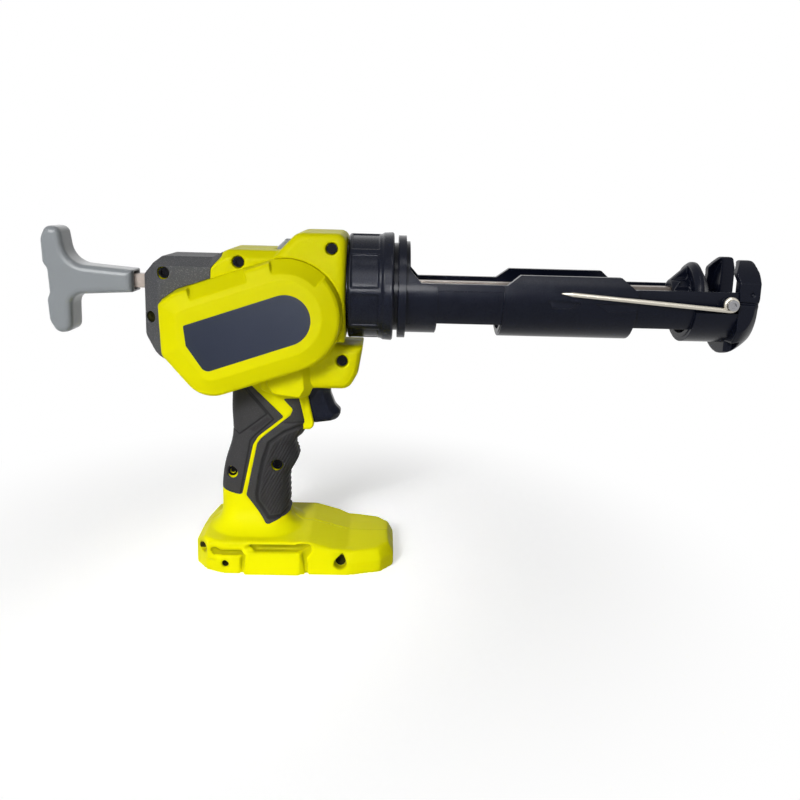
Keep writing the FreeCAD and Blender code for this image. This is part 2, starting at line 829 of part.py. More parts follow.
def gear_blank(teeth, module, width, y_from, x, height, first_tooth):
    """Spur gear along Y with involute teeth; the first tooth points at an angle from +X towards +Z."""
    pitch_radius = module * teeth / 2
    tip = pitch_radius + ADDENDUM * module
    root = pitch_radius - DEDENDUM * module
    base = pitch_radius * math.cos(math.radians(PRESSURE_ANGLE))
    roll = math.tan(math.radians(PRESSURE_ANGLE))
    half_tooth = math.pi / (2 * teeth) - GEAR_BACKLASH / (4 * pitch_radius)
    start_angle = half_tooth + roll - math.radians(PRESSURE_ANGLE)
    low = max(base, root)
    levels = [low + (tip - low) * step / 4 for step in range(5)]
    edges = []
    previous_end = None
    first_start = None
    for tooth in range(teeth):
        turn = math.degrees(2 * math.pi * tooth / teeth) + first_tooth
        place = FreeCAD.Rotation(Vector(0, -1, 0), turn)
        lower = [place.multVec(involute_point(base, level, start_angle, -1)) for level in levels]
        upper = [place.multVec(involute_point(base, level, start_angle, 1)) for level in levels]
        root_in = unit(lower[0]) * root
        root_out = unit(upper[0]) * root
        if previous_end is not None:
            edges.append(root_edge(previous_end, root_in, root))
        else:
            first_start = root_in
        if low - root > 1e-4:
            edges.append(Part.LineSegment(root_in, lower[0]).toShape())
        edges.append(flank(lower))
        edges.append(root_edge(lower[-1], upper[-1], tip))
        edges.append(flank(upper[::-1]))
        if low - root > 1e-4:
            edges.append(Part.LineSegment(upper[0], root_out).toShape())
        previous_end = root_out
    edges.append(root_edge(previous_end, first_start, root))
    face = Part.Face(Part.Wire(edges))
    blank = face.extrude(Vector(0, width, 0))
    blank.translate(along_x(x, height, y_from))
    return blank


def flank(points):
    """Smooth curve through the points of one tooth flank."""
    curve = Part.BSplineCurve()
    curve.interpolate(points)
    return curve.toShape()


def root_edge(start, end, radius):
    """Arc about the gear's axis between two points."""
    middle = unit(start + end) * radius
    return Part.Arc(start, middle, end).toShape()


def tooth_at_gap(angle, teeth):
    """Angle of a tooth so that a gap, half a pitch on, points at the wanted angle."""
    return angle + 180.0 / teeth


def pinion_shaft():
    """Shaft with the rack pinion on it, from the outer gear plate to the left bush."""
    blank = gear_blank(
        RACK_PINION_TEETH, RACK_MODULE, PINION_WIDTH, -PINION_WIDTH / 2, PINION_X, PINION_Z, 90.0)
    low = OUTER_PLATE_Y - GEAR_PLATE
    shaft = round_y(PINION_SHAFT / 2, low, PINION_SHAFT_LEFT, PINION_X, PINION_Z)
    return blank.fuse(shaft).removeSplitter()


def spoked(blank, x, height, y_from, hub, rim, holes):
    """Gear with a ring of lightening holes between hub and rim."""
    middle = (hub + rim) / 2
    size = (rim - hub) / 2 - 1.2
    cuts = []
    for number in range(holes):
        angle = 2 * math.pi * number / holes
        hole_x = x + middle * math.cos(angle)
        hole_height = height + middle * math.sin(angle)
        cuts.append(round_y(size, y_from - 1, y_from + GEAR_WIDTH + 1, hole_x, hole_height))
    return blank.cut(joined(cuts))


def final_gear():
    """Large gear pressed on the pinion shaft."""
    first = COVER_TILT + 180.0
    blank = gear_blank(FINAL_TEETH, GEAR_MODULE, GEAR_WIDTH, GEAR_FRONT_Y, PINION_X, PINION_Z, first)
    blank = spoked(blank, PINION_X, PINION_Z, GEAR_FRONT_Y, PINION_SHAFT / 2 + 3, FINAL_RADIUS - 3, 6)
    return blank.cut(round_y(PINION_SHAFT / 2, -EVERYWHERE, EVERYWHERE, PINION_X, PINION_Z))


def idler_gear():
    """Gear that turns on a fixed axle between the final gear and the gearbox pinion."""
    first = tooth_at_gap(COVER_TILT, IDLER_TEETH)
    blank = gear_blank(IDLER_TEETH, GEAR_MODULE, GEAR_WIDTH, GEAR_FRONT_Y, IDLER_X, IDLER_Z, first)
    bore = IDLER_AXLE / 2 + SHAFT_FIT
    return blank.cut(round_y(bore, -EVERYWHERE, EVERYWHERE, IDLER_X, IDLER_Z))


def drive_pinion():
    """Small pinion on the gearbox's output shaft."""
    turn_to_tooth = 180.0 + COVER_TILT
    pitch = 360.0 / IDLER_TEETH
    idler_first = tooth_at_gap(COVER_TILT, IDLER_TEETH)
    offset = (turn_to_tooth - idler_first) / pitch
    shift = (offset - math.floor(offset)) * 360.0 / DRIVE_TEETH
    first = COVER_TILT + 180.0 / DRIVE_TEETH - shift
    blank = gear_blank(DRIVE_TEETH, GEAR_MODULE, GEAR_WIDTH, GEAR_FRONT_Y, MOTOR_X, MOTOR_Z, first)
    shaft = round_y(DRIVE_SHAFT / 2, GEAR_FRONT_Y, GEARBOX_FRONT_Y + GEARBOX_LENGTH / 2, MOTOR_X, MOTOR_Z)
    tail = round_y(DRIVE_SHAFT / 2, OUTER_PLATE_Y - GEAR_PLATE, GEAR_FRONT_Y, MOTOR_X, MOTOR_Z)
    return joined([blank, shaft, tail])


GEARBOX_FRONT_Y = GEAR_PLATE_Y
MOTOR_FRONT_Y = GEARBOX_FRONT_Y + GEARBOX_LENGTH
MOTOR_REAR_Y = MOTOR_FRONT_Y + MOTOR_LENGTH
LEFT_WALL_Y = BODY_WIDTH / 2 - SHELL_WALL
PINION_SHAFT_LEFT = LEFT_WALL_Y - 6.0
BUSH_RADIUS = PINION_SHAFT / 2 + SHAFT_FIT + BUSH_WALL


def gear_plate(y_from, inset, holes):
    """Plate that carries the gear axles, with one hole for each (x, height, radius)."""
    plate = side_slab(COVER_OUTLINE, COVER_RADII, y_from, y_from - GEAR_PLATE, inset)
    for x, height, radius in holes:
        plate = plate.cut(round_y(radius, -EVERYWHERE, EVERYWHERE, x, height))
    return plate


def inner_gear_plate():
    """Plate against the inside of the right wall; the gearbox nose passes through it."""
    holes = [
        (PINION_X, PINION_Z, BUSH_RADIUS),
        (IDLER_X, IDLER_Z, IDLER_AXLE / 2),
        (MOTOR_X, MOTOR_Z, DRIVE_SHAFT / 2 + 3),
    ]
    return gear_plate(GEAR_PLATE_Y, GEAR_PLATE_INSET, holes)


def outer_gear_plate():
    """Plate under the gear cover that holds the outer ends of the axles."""
    holes = [
        (PINION_X, PINION_Z, BUSH_RADIUS),
        (IDLER_X, IDLER_Z, IDLER_AXLE / 2),
        (MOTOR_X, MOTOR_Z, DRIVE_SHAFT / 2 + SHAFT_FIT),
    ]
    return gear_plate(OUTER_PLATE_Y, OUTER_PLATE_INSET, holes)


def gear_posts():
    """Posts between the two gear plates, clear of the gear teeth."""
    tooth = ADDENDUM * GEAR_MODULE
    final_reach = FINAL_RADIUS + tooth + GEAR_POST / 2 + POST_GAP
    idler_reach = IDLER_RADIUS + tooth + GEAR_POST / 2 + POST_GAP
    turn = math.radians(-79.0)
    places = [
        tilted(final_reach * math.cos(turn), final_reach * math.sin(turn), PINION_X, PINION_Z),
        tilted(0, idler_reach, IDLER_X, IDLER_Z),
        tilted(0, -idler_reach, IDLER_X, IDLER_Z),
    ]
    return Part.makeCompound(
        [round_y(GEAR_POST / 2, OUTER_PLATE_Y, GEAR_PLATE_Y - GEAR_PLATE, x, height) for x, height in places])


def bush(y_from, y_to):
    """Plain bush round the pinion shaft."""
    ring = round_y(BUSH_RADIUS, y_from, y_to, PINION_X, PINION_Z)
    return ring.cut(round_y(PINION_SHAFT / 2 + SHAFT_FIT, y_from - 1, y_to + 1, PINION_X, PINION_Z))


def bearing_block():
    """Block on the left wall that holds the pinion shaft's left bush."""
    outer = round_y(BUSH_RADIUS + 4, LEFT_BUSH_Y, LEFT_WALL_Y, PINION_X, PINION_Z)
    return outer.cut(round_y(BUSH_RADIUS, LEFT_BUSH_Y - 1, PINION_SHAFT_LEFT + 1, PINION_X, PINION_Z))


LEFT_BUSH_Y = PINION_SHAFT_LEFT - 9.0


def gearbox():
    """Reduction gearbox in front of the motor, with the seat of its output shaft."""
    can = round_y(GEARBOX_DIAMETER / 2, GEARBOX_FRONT_Y, MOTOR_FRONT_Y, MOTOR_X, MOTOR_Z)
    nose = round_y(DRIVE_SHAFT / 2 + 3, GEARBOX_FRONT_Y - GEAR_PLATE, GEARBOX_FRONT_Y, MOTOR_X, MOTOR_Z)
    bore = round_y(
        DRIVE_SHAFT / 2 + SHAFT_FIT, -EVERYWHERE, GEARBOX_FRONT_Y + GEARBOX_LENGTH / 2, MOTOR_X, MOTOR_Z)
    return can.fuse(nose).cut(bore).removeSplitter()


def motor_can():
    """Steel motor can with two flats."""
    can = round_y(MOTOR_DIAMETER / 2, MOTOR_FRONT_Y, MOTOR_REAR_Y, MOTOR_X, MOTOR_Z)
    flat = axis_box(MOTOR_X - MOTOR_DIAMETER, MOTOR_X + MOTOR_DIAMETER, EVERYWHERE, MOTOR_Z - 12, MOTOR_Z + 12)
    return can.common(flat)


def motor_end_bell():
    """End bell of the motor with its two terminals."""
    bell = round_y(MOTOR_DIAMETER / 2 - 2, MOTOR_REAR_Y, MOTOR_REAR_Y + END_BELL_LENGTH, MOTOR_X, MOTOR_Z)
    floor = BARREL_AXIS_HEIGHT + MOTOR_Z
    tabs = []
    for offset in (-6.0, 6.0):
        low = MOTOR_REAR_Y + END_BELL_LENGTH - 1
        middle = MOTOR_X + offset
        tabs.append(box(middle - 1.5, middle + 1.5, low, low + 3.5, floor - 0.4, floor + 0.4))
    return joined([bell] + tabs)


# Plunger
def rack_outline():
    """Side outline of the rod: plain ends and a toothed stretch on the underside."""
    pitch = math.pi * RACK_MODULE
    half = ROD_SIZE / 2
    slope = math.tan(math.radians(PRESSURE_ANGLE))
    pitch_height = -half + ADDENDUM * RACK_MODULE
    root_height = pitch_height + DEDENDUM * RACK_MODULE
    half_gap = pitch / 4 + GEAR_BACKLASH / 4
    mouth = half_gap + ADDENDUM * RACK_MODULE * slope
    bottom = half_gap - DEDENDUM * RACK_MODULE * slope
    gaps = math.ceil(PLUNGER_TRAVEL / pitch) + 2 * RACK_RUN_OUT
    points = [(ROD_FRONT, half), (ROD_REAR, half), (ROD_REAR, -half)]
    for number in range(gaps):
        centre = PINION_X + (number - RACK_RUN_OUT) * pitch
        points.append((centre - mouth, -half))
        points.append((centre - bottom, root_height))
        points.append((centre + bottom, root_height))
        points.append((centre + mouth, -half))
    points.append((ROD_FRONT, -half))
    return points

ROD_FRONT = PISTON_FRONT - 4.0


def plunger_rod():
    """Square steel rod with rack teeth and the cross hole of the handle pin."""
    outline = rack_outline()
    rod = side_slab(outline, even_radii(outline, 0), -ROD_SIZE / 2, ROD_SIZE / 2)
    return rod.cut(round_y(HANDLE_PIN / 2, -EVERYWHERE, EVERYWHERE, HANDLE_PIN_X, 0))


def t_handle():
    """Moulded cross handle: a leaning bar that sweeps into the stem that takes the rod."""
    top = HANDLE_HALF_HEIGHT
    half = HANDLE_STEM_HEIGHT / 2
    bar_front = HANDLE_REAR + HANDLE_BAR
    outline = [
        (HANDLE_REAR + 3.5, top),
        (HANDLE_REAR, top - 8),
        (HANDLE_REAR + 0.6, 11),
        (HANDLE_REAR + 3.4, 7),
        (HANDLE_REAR + 4.4, -8.5),
        (HANDLE_REAR + 2.6, -13),
        (HANDLE_REAR + 3.6, -top + 8),
        (HANDLE_REAR + 8.5, -top - 0.5),
        (bar_front + 4.5, -top + 1),
        (bar_front + 4.8, -half - 2.2),
        (HANDLE_STEM_FRONT, -half),
        (HANDLE_STEM_FRONT, half),
        (bar_front + 2.3, half + 3.6),
        (bar_front - 1.2, top - 0.8),
    ]
    radii = [5, 9, 5, 4, 4, 5, 9, 6, 5, HANDLE_SWEEP / 2, 0, 0, HANDLE_SWEEP, 5]
    body = rounded_slab(outline, radii, HANDLE_DEPTH / 2, HANDLE_ROUND)
    socket = axis_box(ROD_REAR, HANDLE_STEM_FRONT + 1, ROD_SIZE / 2, -ROD_SIZE / 2, ROD_SIZE / 2)
    pin_hole = round_y(HANDLE_PIN / 2, HANDLE_PIN_END, EVERYWHERE, HANDLE_PIN_X, 0)
    return body.cut(socket).cut(pin_hole)


HANDLE_PIN_END = -HANDLE_DEPTH / 2 + HANDLE_ROUND


def t_handle_pin():
    """Cross pin driven in from the left side through handle and rod."""
    return round_y(HANDLE_PIN / 2, HANDLE_PIN_END, HANDLE_DEPTH / 2 - 1, HANDLE_PIN_X, 0)


def turned(profile):
    """Solid of revolution about the barrel axis through (x, radius) points."""
    points = [along_x(x, radius) for x, radius in profile]
    face = Part.Face(Part.makePolygon(points + points[:1]))
    return face.revolve(along_x(0), Vector(1, 0, 0), 360)


def piston():
    """Plastic piston: a coned back, a thin rim and a shallow domed front."""
    rear = PISTON_FRONT - PISTON_LENGTH
    body = turned([
        (rear, 0),
        (rear, ROD_SIZE * 0.72 + 2.5),
        (rear + 12.5, PISTON_RADIUS - 1),
        (rear + 14, PISTON_RADIUS),
        (rear + 16.5, PISTON_RADIUS),
        (rear + 22, PISTON_RADIUS * 0.62),
        (PISTON_FRONT, PISTON_RADIUS * 0.3),
        (PISTON_FRONT, 0),
    ])
    socket = axis_box(rear - 1, ROD_FRONT, ROD_SIZE / 2, -ROD_SIZE / 2, ROD_SIZE / 2)
    relief = turned([
        (rear + 3, ROD_SIZE * 0.72 + 4.5),
        (rear + 9.5, PISTON_RADIUS - 7),
        (rear + 12, PISTON_RADIUS - 7),
        (rear + 12, ROD_SIZE * 0.72 + 4.5),
    ])
    return body.cut(socket).cut(relief)


# Cartridge carrier
def barrel_mount():
    """Fixed spigot on the nose: a flange inside the wall, a rod guide and the tube the cradle turns on."""
    inner_face = NOSE_FRONT - SHELL_WALL
    flange_rear = inner_face - MOUNT_FLANGE
    flange = round_x(MOUNT_RADIUS + MOUNT_LIP, flange_rear, inner_face)
    flats = -GEAR_PLATE_Y - TURNING_GAP
    flange = flange.common(axis_box(flange_rear, inner_face, flats, -EVERYWHERE, EVERYWHERE))
    tube = round_x(MOUNT_RADIUS, inner_face, MOUNT_FRONT)
    hub = round_x(FRONT_BUSH_SIZE / 2 * 1.5, flange_rear, MOUNT_FLOOR)
    bore = round_x(MOUNT_BORE, MOUNT_FLOOR, MOUNT_FRONT + 1)
    half = FRONT_BUSH_SIZE / 2
    seat = axis_box(inner_face - 10, MOUNT_FLOOR, half, -half, half)
    return joined([flange, tube, hub]).cut(bore).cut(seat)


FRONT_BUSH_SIZE = ROD_SIZE + 2 * SLIDE_FIT + 5.0
MOUNT_FLOOR = NOSE_FRONT + 6.0


def rod_bush(x_from, x_to):
    """Square guide bush round the rod."""
    outer = FRONT_BUSH_SIZE / 2
    inner = ROD_SIZE / 2 + SLIDE_FIT
    block = axis_box(x_from, x_to, outer, -outer, outer)
    return block.cut(axis_box(x_from - 1, x_to + 1, inner, -inner, inner))


SLEEVE_BORE = MOUNT_RADIUS + TURNING_GAP
SLEEVE_RADIUS = SLEEVE_BORE + SLEEVE_WALL
SLEEVE_LIP = SLEEVE_RADIUS + 1.4
SLEEVE_REAR = COLLAR_REAR + 1.0
COLLAR_BORE = SLEEVE_RADIUS + TURNING_GAP
COLLAR_FRONT = COLLAR_REAR + COLLAR_LENGTH


def collar():
    """Locking ring with recessed finger panels and a plain front rim."""
    rim_rear = COLLAR_FRONT - COLLAR_RIM_LENGTH
    body = turned([
        (COLLAR_REAR, COLLAR_BORE),
        (COLLAR_REAR, COLLAR_RADIUS - 1),
        (COLLAR_REAR + 1, COLLAR_RADIUS),
        (rim_rear, COLLAR_RADIUS),
        (rim_rear + 1.5, COLLAR_RIM - 0.4),
        (COLLAR_FRONT - 1, COLLAR_RIM),
        (COLLAR_FRONT, COLLAR_RIM - 1),
        (COLLAR_FRONT, COLLAR_BORE),
    ])
    lip_front = SLEEVE_REAR + 3 + TURNING_GAP
    body = body.cut(round_x(SLEEVE_LIP + TURNING_GAP, COLLAR_REAR - 1, lip_front))
    panel_low = COLLAR_RADIUS - COLLAR_PANEL_DEPTH
    step = 360.0 / COLLAR_PANELS
    for number in range(COLLAR_PANELS):
        corners = [
            along_x(COLLAR_REAR + 2, panel_low),
            along_x(rim_rear - 1.5, panel_low),
            along_x(rim_rear - 1.5, COLLAR_RIM + 1),
            along_x(COLLAR_REAR + 2, COLLAR_RIM + 1),
        ]
        face = Part.Face(Part.makePolygon(corners + corners[:1]))
        face.rotate(along_x(0), Vector(1, 0, 0), (number + 0.08) * step)
        body = body.cut(face.revolve(along_x(0), Vector(1, 0, 0), step * 0.84))
    return body


FLANGE_FRONT = FLANGE_REAR + FLANGE_THICKNESS
CRADLE_RADIUS = CRADLE_BORE + CRADLE_WALL
CRADLE_WIDE_RADIUS = CRADLE_BORE + CRADLE_WIDE_WALL
RING_FRONT = FLANGE_FRONT + 2.5
HEEL_FRONT = FLANGE_FRONT + 20.0
WIRE_Y = -CRADLE_WIDE_RADIUS - TURNING_GAP - WIRE_DIAMETER / 2 - 0.3
BOSS_Y = WIRE_Y + WIRE_DIAMETER / 2 + TURNING_GAP


def cradle_side():
    """Side outline that the trough keeps: low rear walls, tall middle walls, low front walls."""
    low = -50.0
    slope = CRADLE_WIDE_EDGE - CRADLE_REAR_EDGE + 2
    drop = CRADLE_WIDE_EDGE - CRADLE_FRONT_EDGE + 1.5
    return [
        (RING_FRONT - 1, low),
        (CRADLE_FRONT, low),
        (CRADLE_FRONT, CRADLE_FRONT_EDGE),
        (CRADLE_WIDE_FRONT, CRADLE_FRONT_EDGE),
        (CRADLE_WIDE_FRONT - drop, CRADLE_WIDE_EDGE),
        (CRADLE_WIDE_REAR + slope, CRADLE_WIDE_EDGE),
        (CRADLE_WIDE_REAR, CRADLE_REAR_EDGE),
        (RING_FRONT + 7, CRADLE_REAR_EDGE),
        (RING_FRONT - 1, CRADLE_REAR_EDGE + 9),
    ]


def edge_rails():
    """Flat rails along the upper edges of the trough behind its wide middle."""
    inner = CRADLE_BORE + CRADLE_WALL / 2
    outer = CRADLE_RADIUS + RAIL_PROUD
    rails = []
    for side in (-1, 1):
        low, high = sorted((side * inner, side * outer))
        floor = BARREL_AXIS_HEIGHT + RAIL_LOW
        rails.append(box(HEEL_FRONT - 4, CRADLE_WIDE_REAR, low, high, floor, floor + 20))
    return rails


def wire_pockets():
    """Two shallow pockets in the right wall that let a fingertip under the wire."""
    beyond = CRADLE_WIDE_FRONT + 4
    behind = [(160.5, -3.0), (164, -8.5), (175.5, -8.5), (182.5, -4.5)]
    under = [(191, -4.5), (200, -10), (beyond, -10), (beyond, -4.5)]
    inner = -CRADLE_WIDE_RADIUS + WIRE_POCKET_DEPTH
    return [side_slab(outline, even_radii(outline, 0.4), -EVERYWHERE, inner) for outline in (behind, under)]


def cradle():
    """Half-pipe cartridge cradle with its turning sleeve, flange, windows and wire boss."""
    sleeve = tube_x(SLEEVE_RADIUS, SLEEVE_BORE, SLEEVE_REAR, FLANGE_REAR)
    lip = tube_x(SLEEVE_LIP, SLEEVE_BORE, SLEEVE_REAR, SLEEVE_REAR + 3)
    flange = tube_x(FLANGE_RADIUS, CRADLE_BORE, FLANGE_REAR, FLANGE_FRONT)
    ring = tube_x(CRADLE_RADIUS + 1, CRADLE_BORE, FLANGE_FRONT, RING_FRONT)
    trough = tube_x(CRADLE_RADIUS, CRADLE_BORE, FLANGE_FRONT, CRADLE_FRONT)
    heel = tube_x(CRADLE_RADIUS + 1, CRADLE_BORE, FLANGE_FRONT, HEEL_FRONT)
    middle = tube_x(CRADLE_WIDE_RADIUS, CRADLE_BORE, CRADLE_WIDE_REAR - 2, CRADLE_WIDE_FRONT + 2)
    shell = tube_x(CRADLE_SHELL_RADIUS, CRADLE_BORE, CRADLE_SHELL_REAR, CRADLE_FRONT)
    shell = shell.common(axis_box(0, EVERYWHERE, EVERYWHERE, -EVERYWHERE, -9))
    side = cradle_side()
    keep = side_slab(side, even_radii(side, 0), -EVERYWHERE, EVERYWHERE)
    half_window = WINDOW_WIDTH / 2
    rear_window = axis_box(HEEL_FRONT + 0.5, CRADLE_WIDE_REAR - 2.5, half_window, -50, -8)
    front_window = axis_box(CRADLE_WIDE_FRONT + 2.5, CRADLE_SHELL_REAR - 0.5, half_window, -50, -8)
    boss = round_y(PIVOT_HEAD / 2 + 1.5, BOSS_Y, -CRADLE_BORE + 1, WIRE_PIVOT_X, WIRE_PIVOT_Z)
    boss = boss.cut(round_x(CRADLE_BORE, 0, EVERYWHERE))
    half_shell = joined([trough, heel, middle, shell, *edge_rails()]).common(keep)
    body = joined([sleeve, lip, flange, ring, half_shell, boss])
    body = body.cut(rear_window).cut(front_window)
    for pocket in wire_pockets():
        body = body.cut(pocket)
    body = body.cut(round_y(PIVOT_SCREW / 2, BOSS_Y - 1, 0, WIRE_PIVOT_X, WIRE_PIVOT_Z))
    for place in pin_places():
        body = body.cut(pin_rod(place))
    return body


CRADLE_SHELL_RADIUS = CRADLE_WIDE_RADIUS + 0.8


def pin_places():
    """Angles round the barrel axis of the pins that hold the yoke on the cradle."""
    return (-150.0, -90.0, -30.0)


def pin_rod(angle):
    """One yoke pin along X, half in the cradle's front wall and half in the yoke."""
    turn = math.radians(angle)
    reach = CRADLE_BORE + CRADLE_WALL / 2
    return round_x(
        YOKE_PIN / 2, CRADLE_FRONT - 6, CRADLE_FRONT + 6, reach * math.sin(turn), reach * math.cos(turn))


def front_yoke():
    """Open end yoke: a dished foot and two prongs either side of the nozzle slot."""
    front = CRADLE_FRONT + YOKE_LENGTH
    low = YOKE_CENTRE - YOKE_RADIUS - 1
    overhang = CRADLE_FRONT - YOKE_OVERHANG
    side = [
        (CRADLE_FRONT, low),
        (front - 3, low),
        (front, YOKE_CENTRE - YOKE_RADIUS + 8),
        (front, YOKE_PRONG_TOP - 8),
        (front - 2, YOKE_PRONG_TOP),
        (CRADLE_FRONT + 3, YOKE_PRONG_TOP),
        (overhang, YOKE_PRONG_TOP - 8),
        (overhang + 1.5, YOKE_PRONG_TOP - 13),
        (overhang + 1.5, CRADLE_FRONT_EDGE),
        (CRADLE_FRONT, CRADLE_FRONT_EDGE),
    ]
    radii = [0, 3, 6, 10, 2, 2, 3, 2, 0, 0]
    body = side_slab(side, radii, -YOKE_WIDTH / 2, YOKE_WIDTH / 2)
    body = body.common(round_x(YOKE_RADIUS, overhang - 1, front + 1, YOKE_CENTRE))
    half = YOKE_SLOT / 2
    slot = round_x(half, 0, EVERYWHERE).fuse(axis_box(0, EVERYWHERE, half, 0, EVERYWHERE))
    pocket = round_x(CRADLE_BORE, 0, CRADLE_FRONT + 4)
    body = body.cut(slot).cut(pocket)
    for place in pin_places():
        body = body.cut(pin_rod(place))
    return body


def puncture_wire():
    """Pointed steel wire bent into an eye at its pivot."""
    eye = (WIRE_EYE - WIRE_DIAMETER) / 2
    pivot = along_x(WIRE_PIVOT_X, WIRE_PIVOT_Z, WIRE_Y)
    start = pivot + Vector(-WIRE_LENGTH + WIRE_POINT, 0, -eye)
    tangent = pivot + Vector(0, 0, -eye)
    last = math.radians(WIRE_CURL - 90.0)
    half_way = math.radians(WIRE_CURL / 2 - 90.0)
    middle = pivot + Vector(eye * math.cos(half_way), 0, eye * math.sin(half_way))
    end = pivot + Vector(eye * math.cos(last), 0, eye * math.sin(last))
    path = Part.Wire([
        Part.LineSegment(start, tangent).toShape(),
        Part.Arc(tangent, middle, end).toShape(),
    ])
    ring = Part.Wire(Part.Circle(start, Vector(1, 0, 0), WIRE_DIAMETER / 2).toShape())
    wire = path.makePipeShell([ring], True, False)
    point = Part.makeCone(WIRE_DIAMETER / 2, 0.3, WIRE_POINT, start, Vector(-1, 0, 0))
    wire = wire.fuse(point).removeSplitter()
    wire.rotate(pivot, Vector(0, 1, 0), WIRE_REST_TILT)
    return wire


def wire_pivot_screw():
    """Shouldered screw that the wire turns on."""
    head_low = WIRE_Y - WIRE_DIAMETER / 2 - TURNING_GAP
    head = round_y(PIVOT_HEAD / 2, head_low - 2, head_low, WIRE_PIVOT_X, WIRE_PIVOT_Z)
    shank = round_y(PIVOT_SCREW / 2, head_low, -CRADLE_BORE - 0.3, WIRE_PIVOT_X, WIRE_PIVOT_Z)
    socket = round_y(PIVOT_HEAD * 0.25, head_low - 3, head_low - 1, WIRE_PIVOT_X, WIRE_PIVOT_Z)
    return head.fuse(shank).cut(socket).removeSplitter()


# Controls
def trigger():
    """Trigger with a curled finger front and a tail that runs in the housing."""
    top = CHIN_BOTTOM - 0.5
    side = [
        (TRIGGER_TAIL, top - 8),
        (7, top - 8),
        (12, top),
        (22.6, top),
        (21.4, top - 5),
        (25, top - 14),
        (29.5, top - 18.5),
        (26.5, top - 24),
        (12, top - 26),
        (TRIGGER_TAIL, top - 24),
    ]
    return rounded_slab(side, [1, 1, 2, 1, 7, 6, 3.5, 4, 2, 1], TRIGGER_WIDTH / 2, 3.0)


def trigger_slot():
    """Room for the trigger's tail in the housing over its whole travel."""
    top = CHIN_BOTTOM - 0.5 - 8 + SLIDE_FIT * 2
    low = CHIN_BOTTOM - 0.5 - 26 - SLIDE_FIT * 2
    half = TRIGGER_WIDTH / 2 + SLIDE_FIT * 2
    tail = axis_box(TRIGGER_TAIL - TRIGGER_TRAVEL - 1, 40, half, low, top)
    head = axis_box(5.5 - TRIGGER_TRAVEL, 40, half, top - 1, CHIN_BOTTOM)
    return tail.fuse(head)


def speed_dial():
    """Knurled thumbwheel that shows through the deck, on a short shaft."""
    front = DIAL_REAR + DIAL_LENGTH
    points = [
        along_x(DIAL_REAR, DIAL_AXIS_HEIGHT),
        along_x(DIAL_REAR, DIAL_AXIS_HEIGHT + DIAL_RADIUS - 5.5),
        along_x(DIAL_REAR + 5.5, DIAL_AXIS_HEIGHT + DIAL_RADIUS),
        along_x(front, DIAL_AXIS_HEIGHT + DIAL_RADIUS),
        along_x(front, DIAL_AXIS_HEIGHT),
    ]
    face = Part.Face(Part.makePolygon(points + points[:1]))
    wheel = face.revolve(along_x(0, DIAL_AXIS_HEIGHT), Vector(1, 0, 0), 360)
    groove = round_x(DIAL_GROOVE, DIAL_REAR + 5.0, front + 1, DIAL_AXIS_HEIGHT + DIAL_RADIUS)
    for number in range(DIAL_GROOVES):
        cut = groove.copy()
        cut.rotate(along_x(0, DIAL_AXIS_HEIGHT), Vector(1, 0, 0), 360.0 * number / DIAL_GROOVES)
        wheel = wheel.cut(cut)
    shaft = round_x(DIAL_SHAFT / 2, front, front + DIAL_SHAFT_LENGTH, DIAL_AXIS_HEIGHT)
    return wheel.fuse(shaft).removeSplitter()


DIAL_FRONT = DIAL_REAR + DIAL_LENGTH


def dial_slot():
    """Pocket in deck and nose that the thumbwheel turns in."""
    half = DIAL_RADIUS + DIAL_GAP
    return axis_box(DIAL_REAR - DIAL_GAP, DIAL_FRONT + DIAL_GAP, half, DIAL_AXIS_HEIGHT - half, EVERYWHERE)


def speed_potentiometer():
    """Potentiometer that the dial's shaft turns in."""
    low = DIAL_FRONT + 1.0
    high = low + POT_LENGTH
    floor = DIAL_AXIS_HEIGHT
    half = POT_SIZE / 2
    body = axis_box(low, high, half, floor - half, floor + half)
    return body.cut(round_x(DIAL_SHAFT / 2 + SHAFT_FIT, low - 1, DIAL_FRONT + DIAL_SHAFT_LENGTH + 0.5, floor))


# Electrics
def trigger_switch():
    """Switch module behind the trigger, with its push button."""
    body = axis_box(SWITCH_REAR, SWITCH_FRONT, SWITCH_WIDTH / 2, SWITCH_LOW, SWITCH_HIGH)
    middle = (SWITCH_LOW + SWITCH_HIGH) / 2
    return body.fuse(round_x(SWITCH_BUTTON / 2, SWITCH_FRONT, TRIGGER_TAIL - TRIGGER_TRAVEL - 0.5, middle))


def controller_board():
    """Motor controller board with two power transistors and a capacitor."""
    high = BOARD_LOW + BOARD_THICKNESS
    half = BOARD_WIDTH / 2
    board = box(BOARD_REAR, BOARD_FRONT, -half, half, BOARD_LOW, high)
    chips = [box(x, x + 7, -6, 6, high, high + 3) for x in (BOARD_REAR + 3, BOARD_REAR + 13)]
    capacitor = Part.makeCylinder(4, 9, Vector(BOARD_FRONT - 6, 0, high))
    return joined([board, capacitor] + chips)


def battery_socket():
    """Lining of the stem socket inside the grip, closed at the top."""
    half_x = SOCKET_LENGTH / 2
    half_y = SOCKET_WIDTH / 2
    outer = box(
        SOCKET_CENTRE - half_x - SOCKET_WALL, SOCKET_CENTRE + half_x + SOCKET_WALL,
        -half_y - SOCKET_WALL, half_y + SOCKET_WALL, SOCKET_LOW, SOCKET_DEPTH + SOCKET_WALL)
    inner = box(
        SOCKET_CENTRE - half_x, SOCKET_CENTRE + half_x, -half_y, half_y, SOCKET_LOW - 1, SOCKET_DEPTH)
    return outer.cut(inner)


def terminal_block():
    """Insulating block at the top of the stem socket."""
    half_x = SOCKET_LENGTH / 2 - 3
    half_y = SOCKET_WIDTH / 2 - 3
    low = SOCKET_DEPTH - TERMINAL_BLOCK
    return box(SOCKET_CENTRE - half_x, SOCKET_CENTRE + half_x, -half_y, half_y, low, SOCKET_DEPTH)


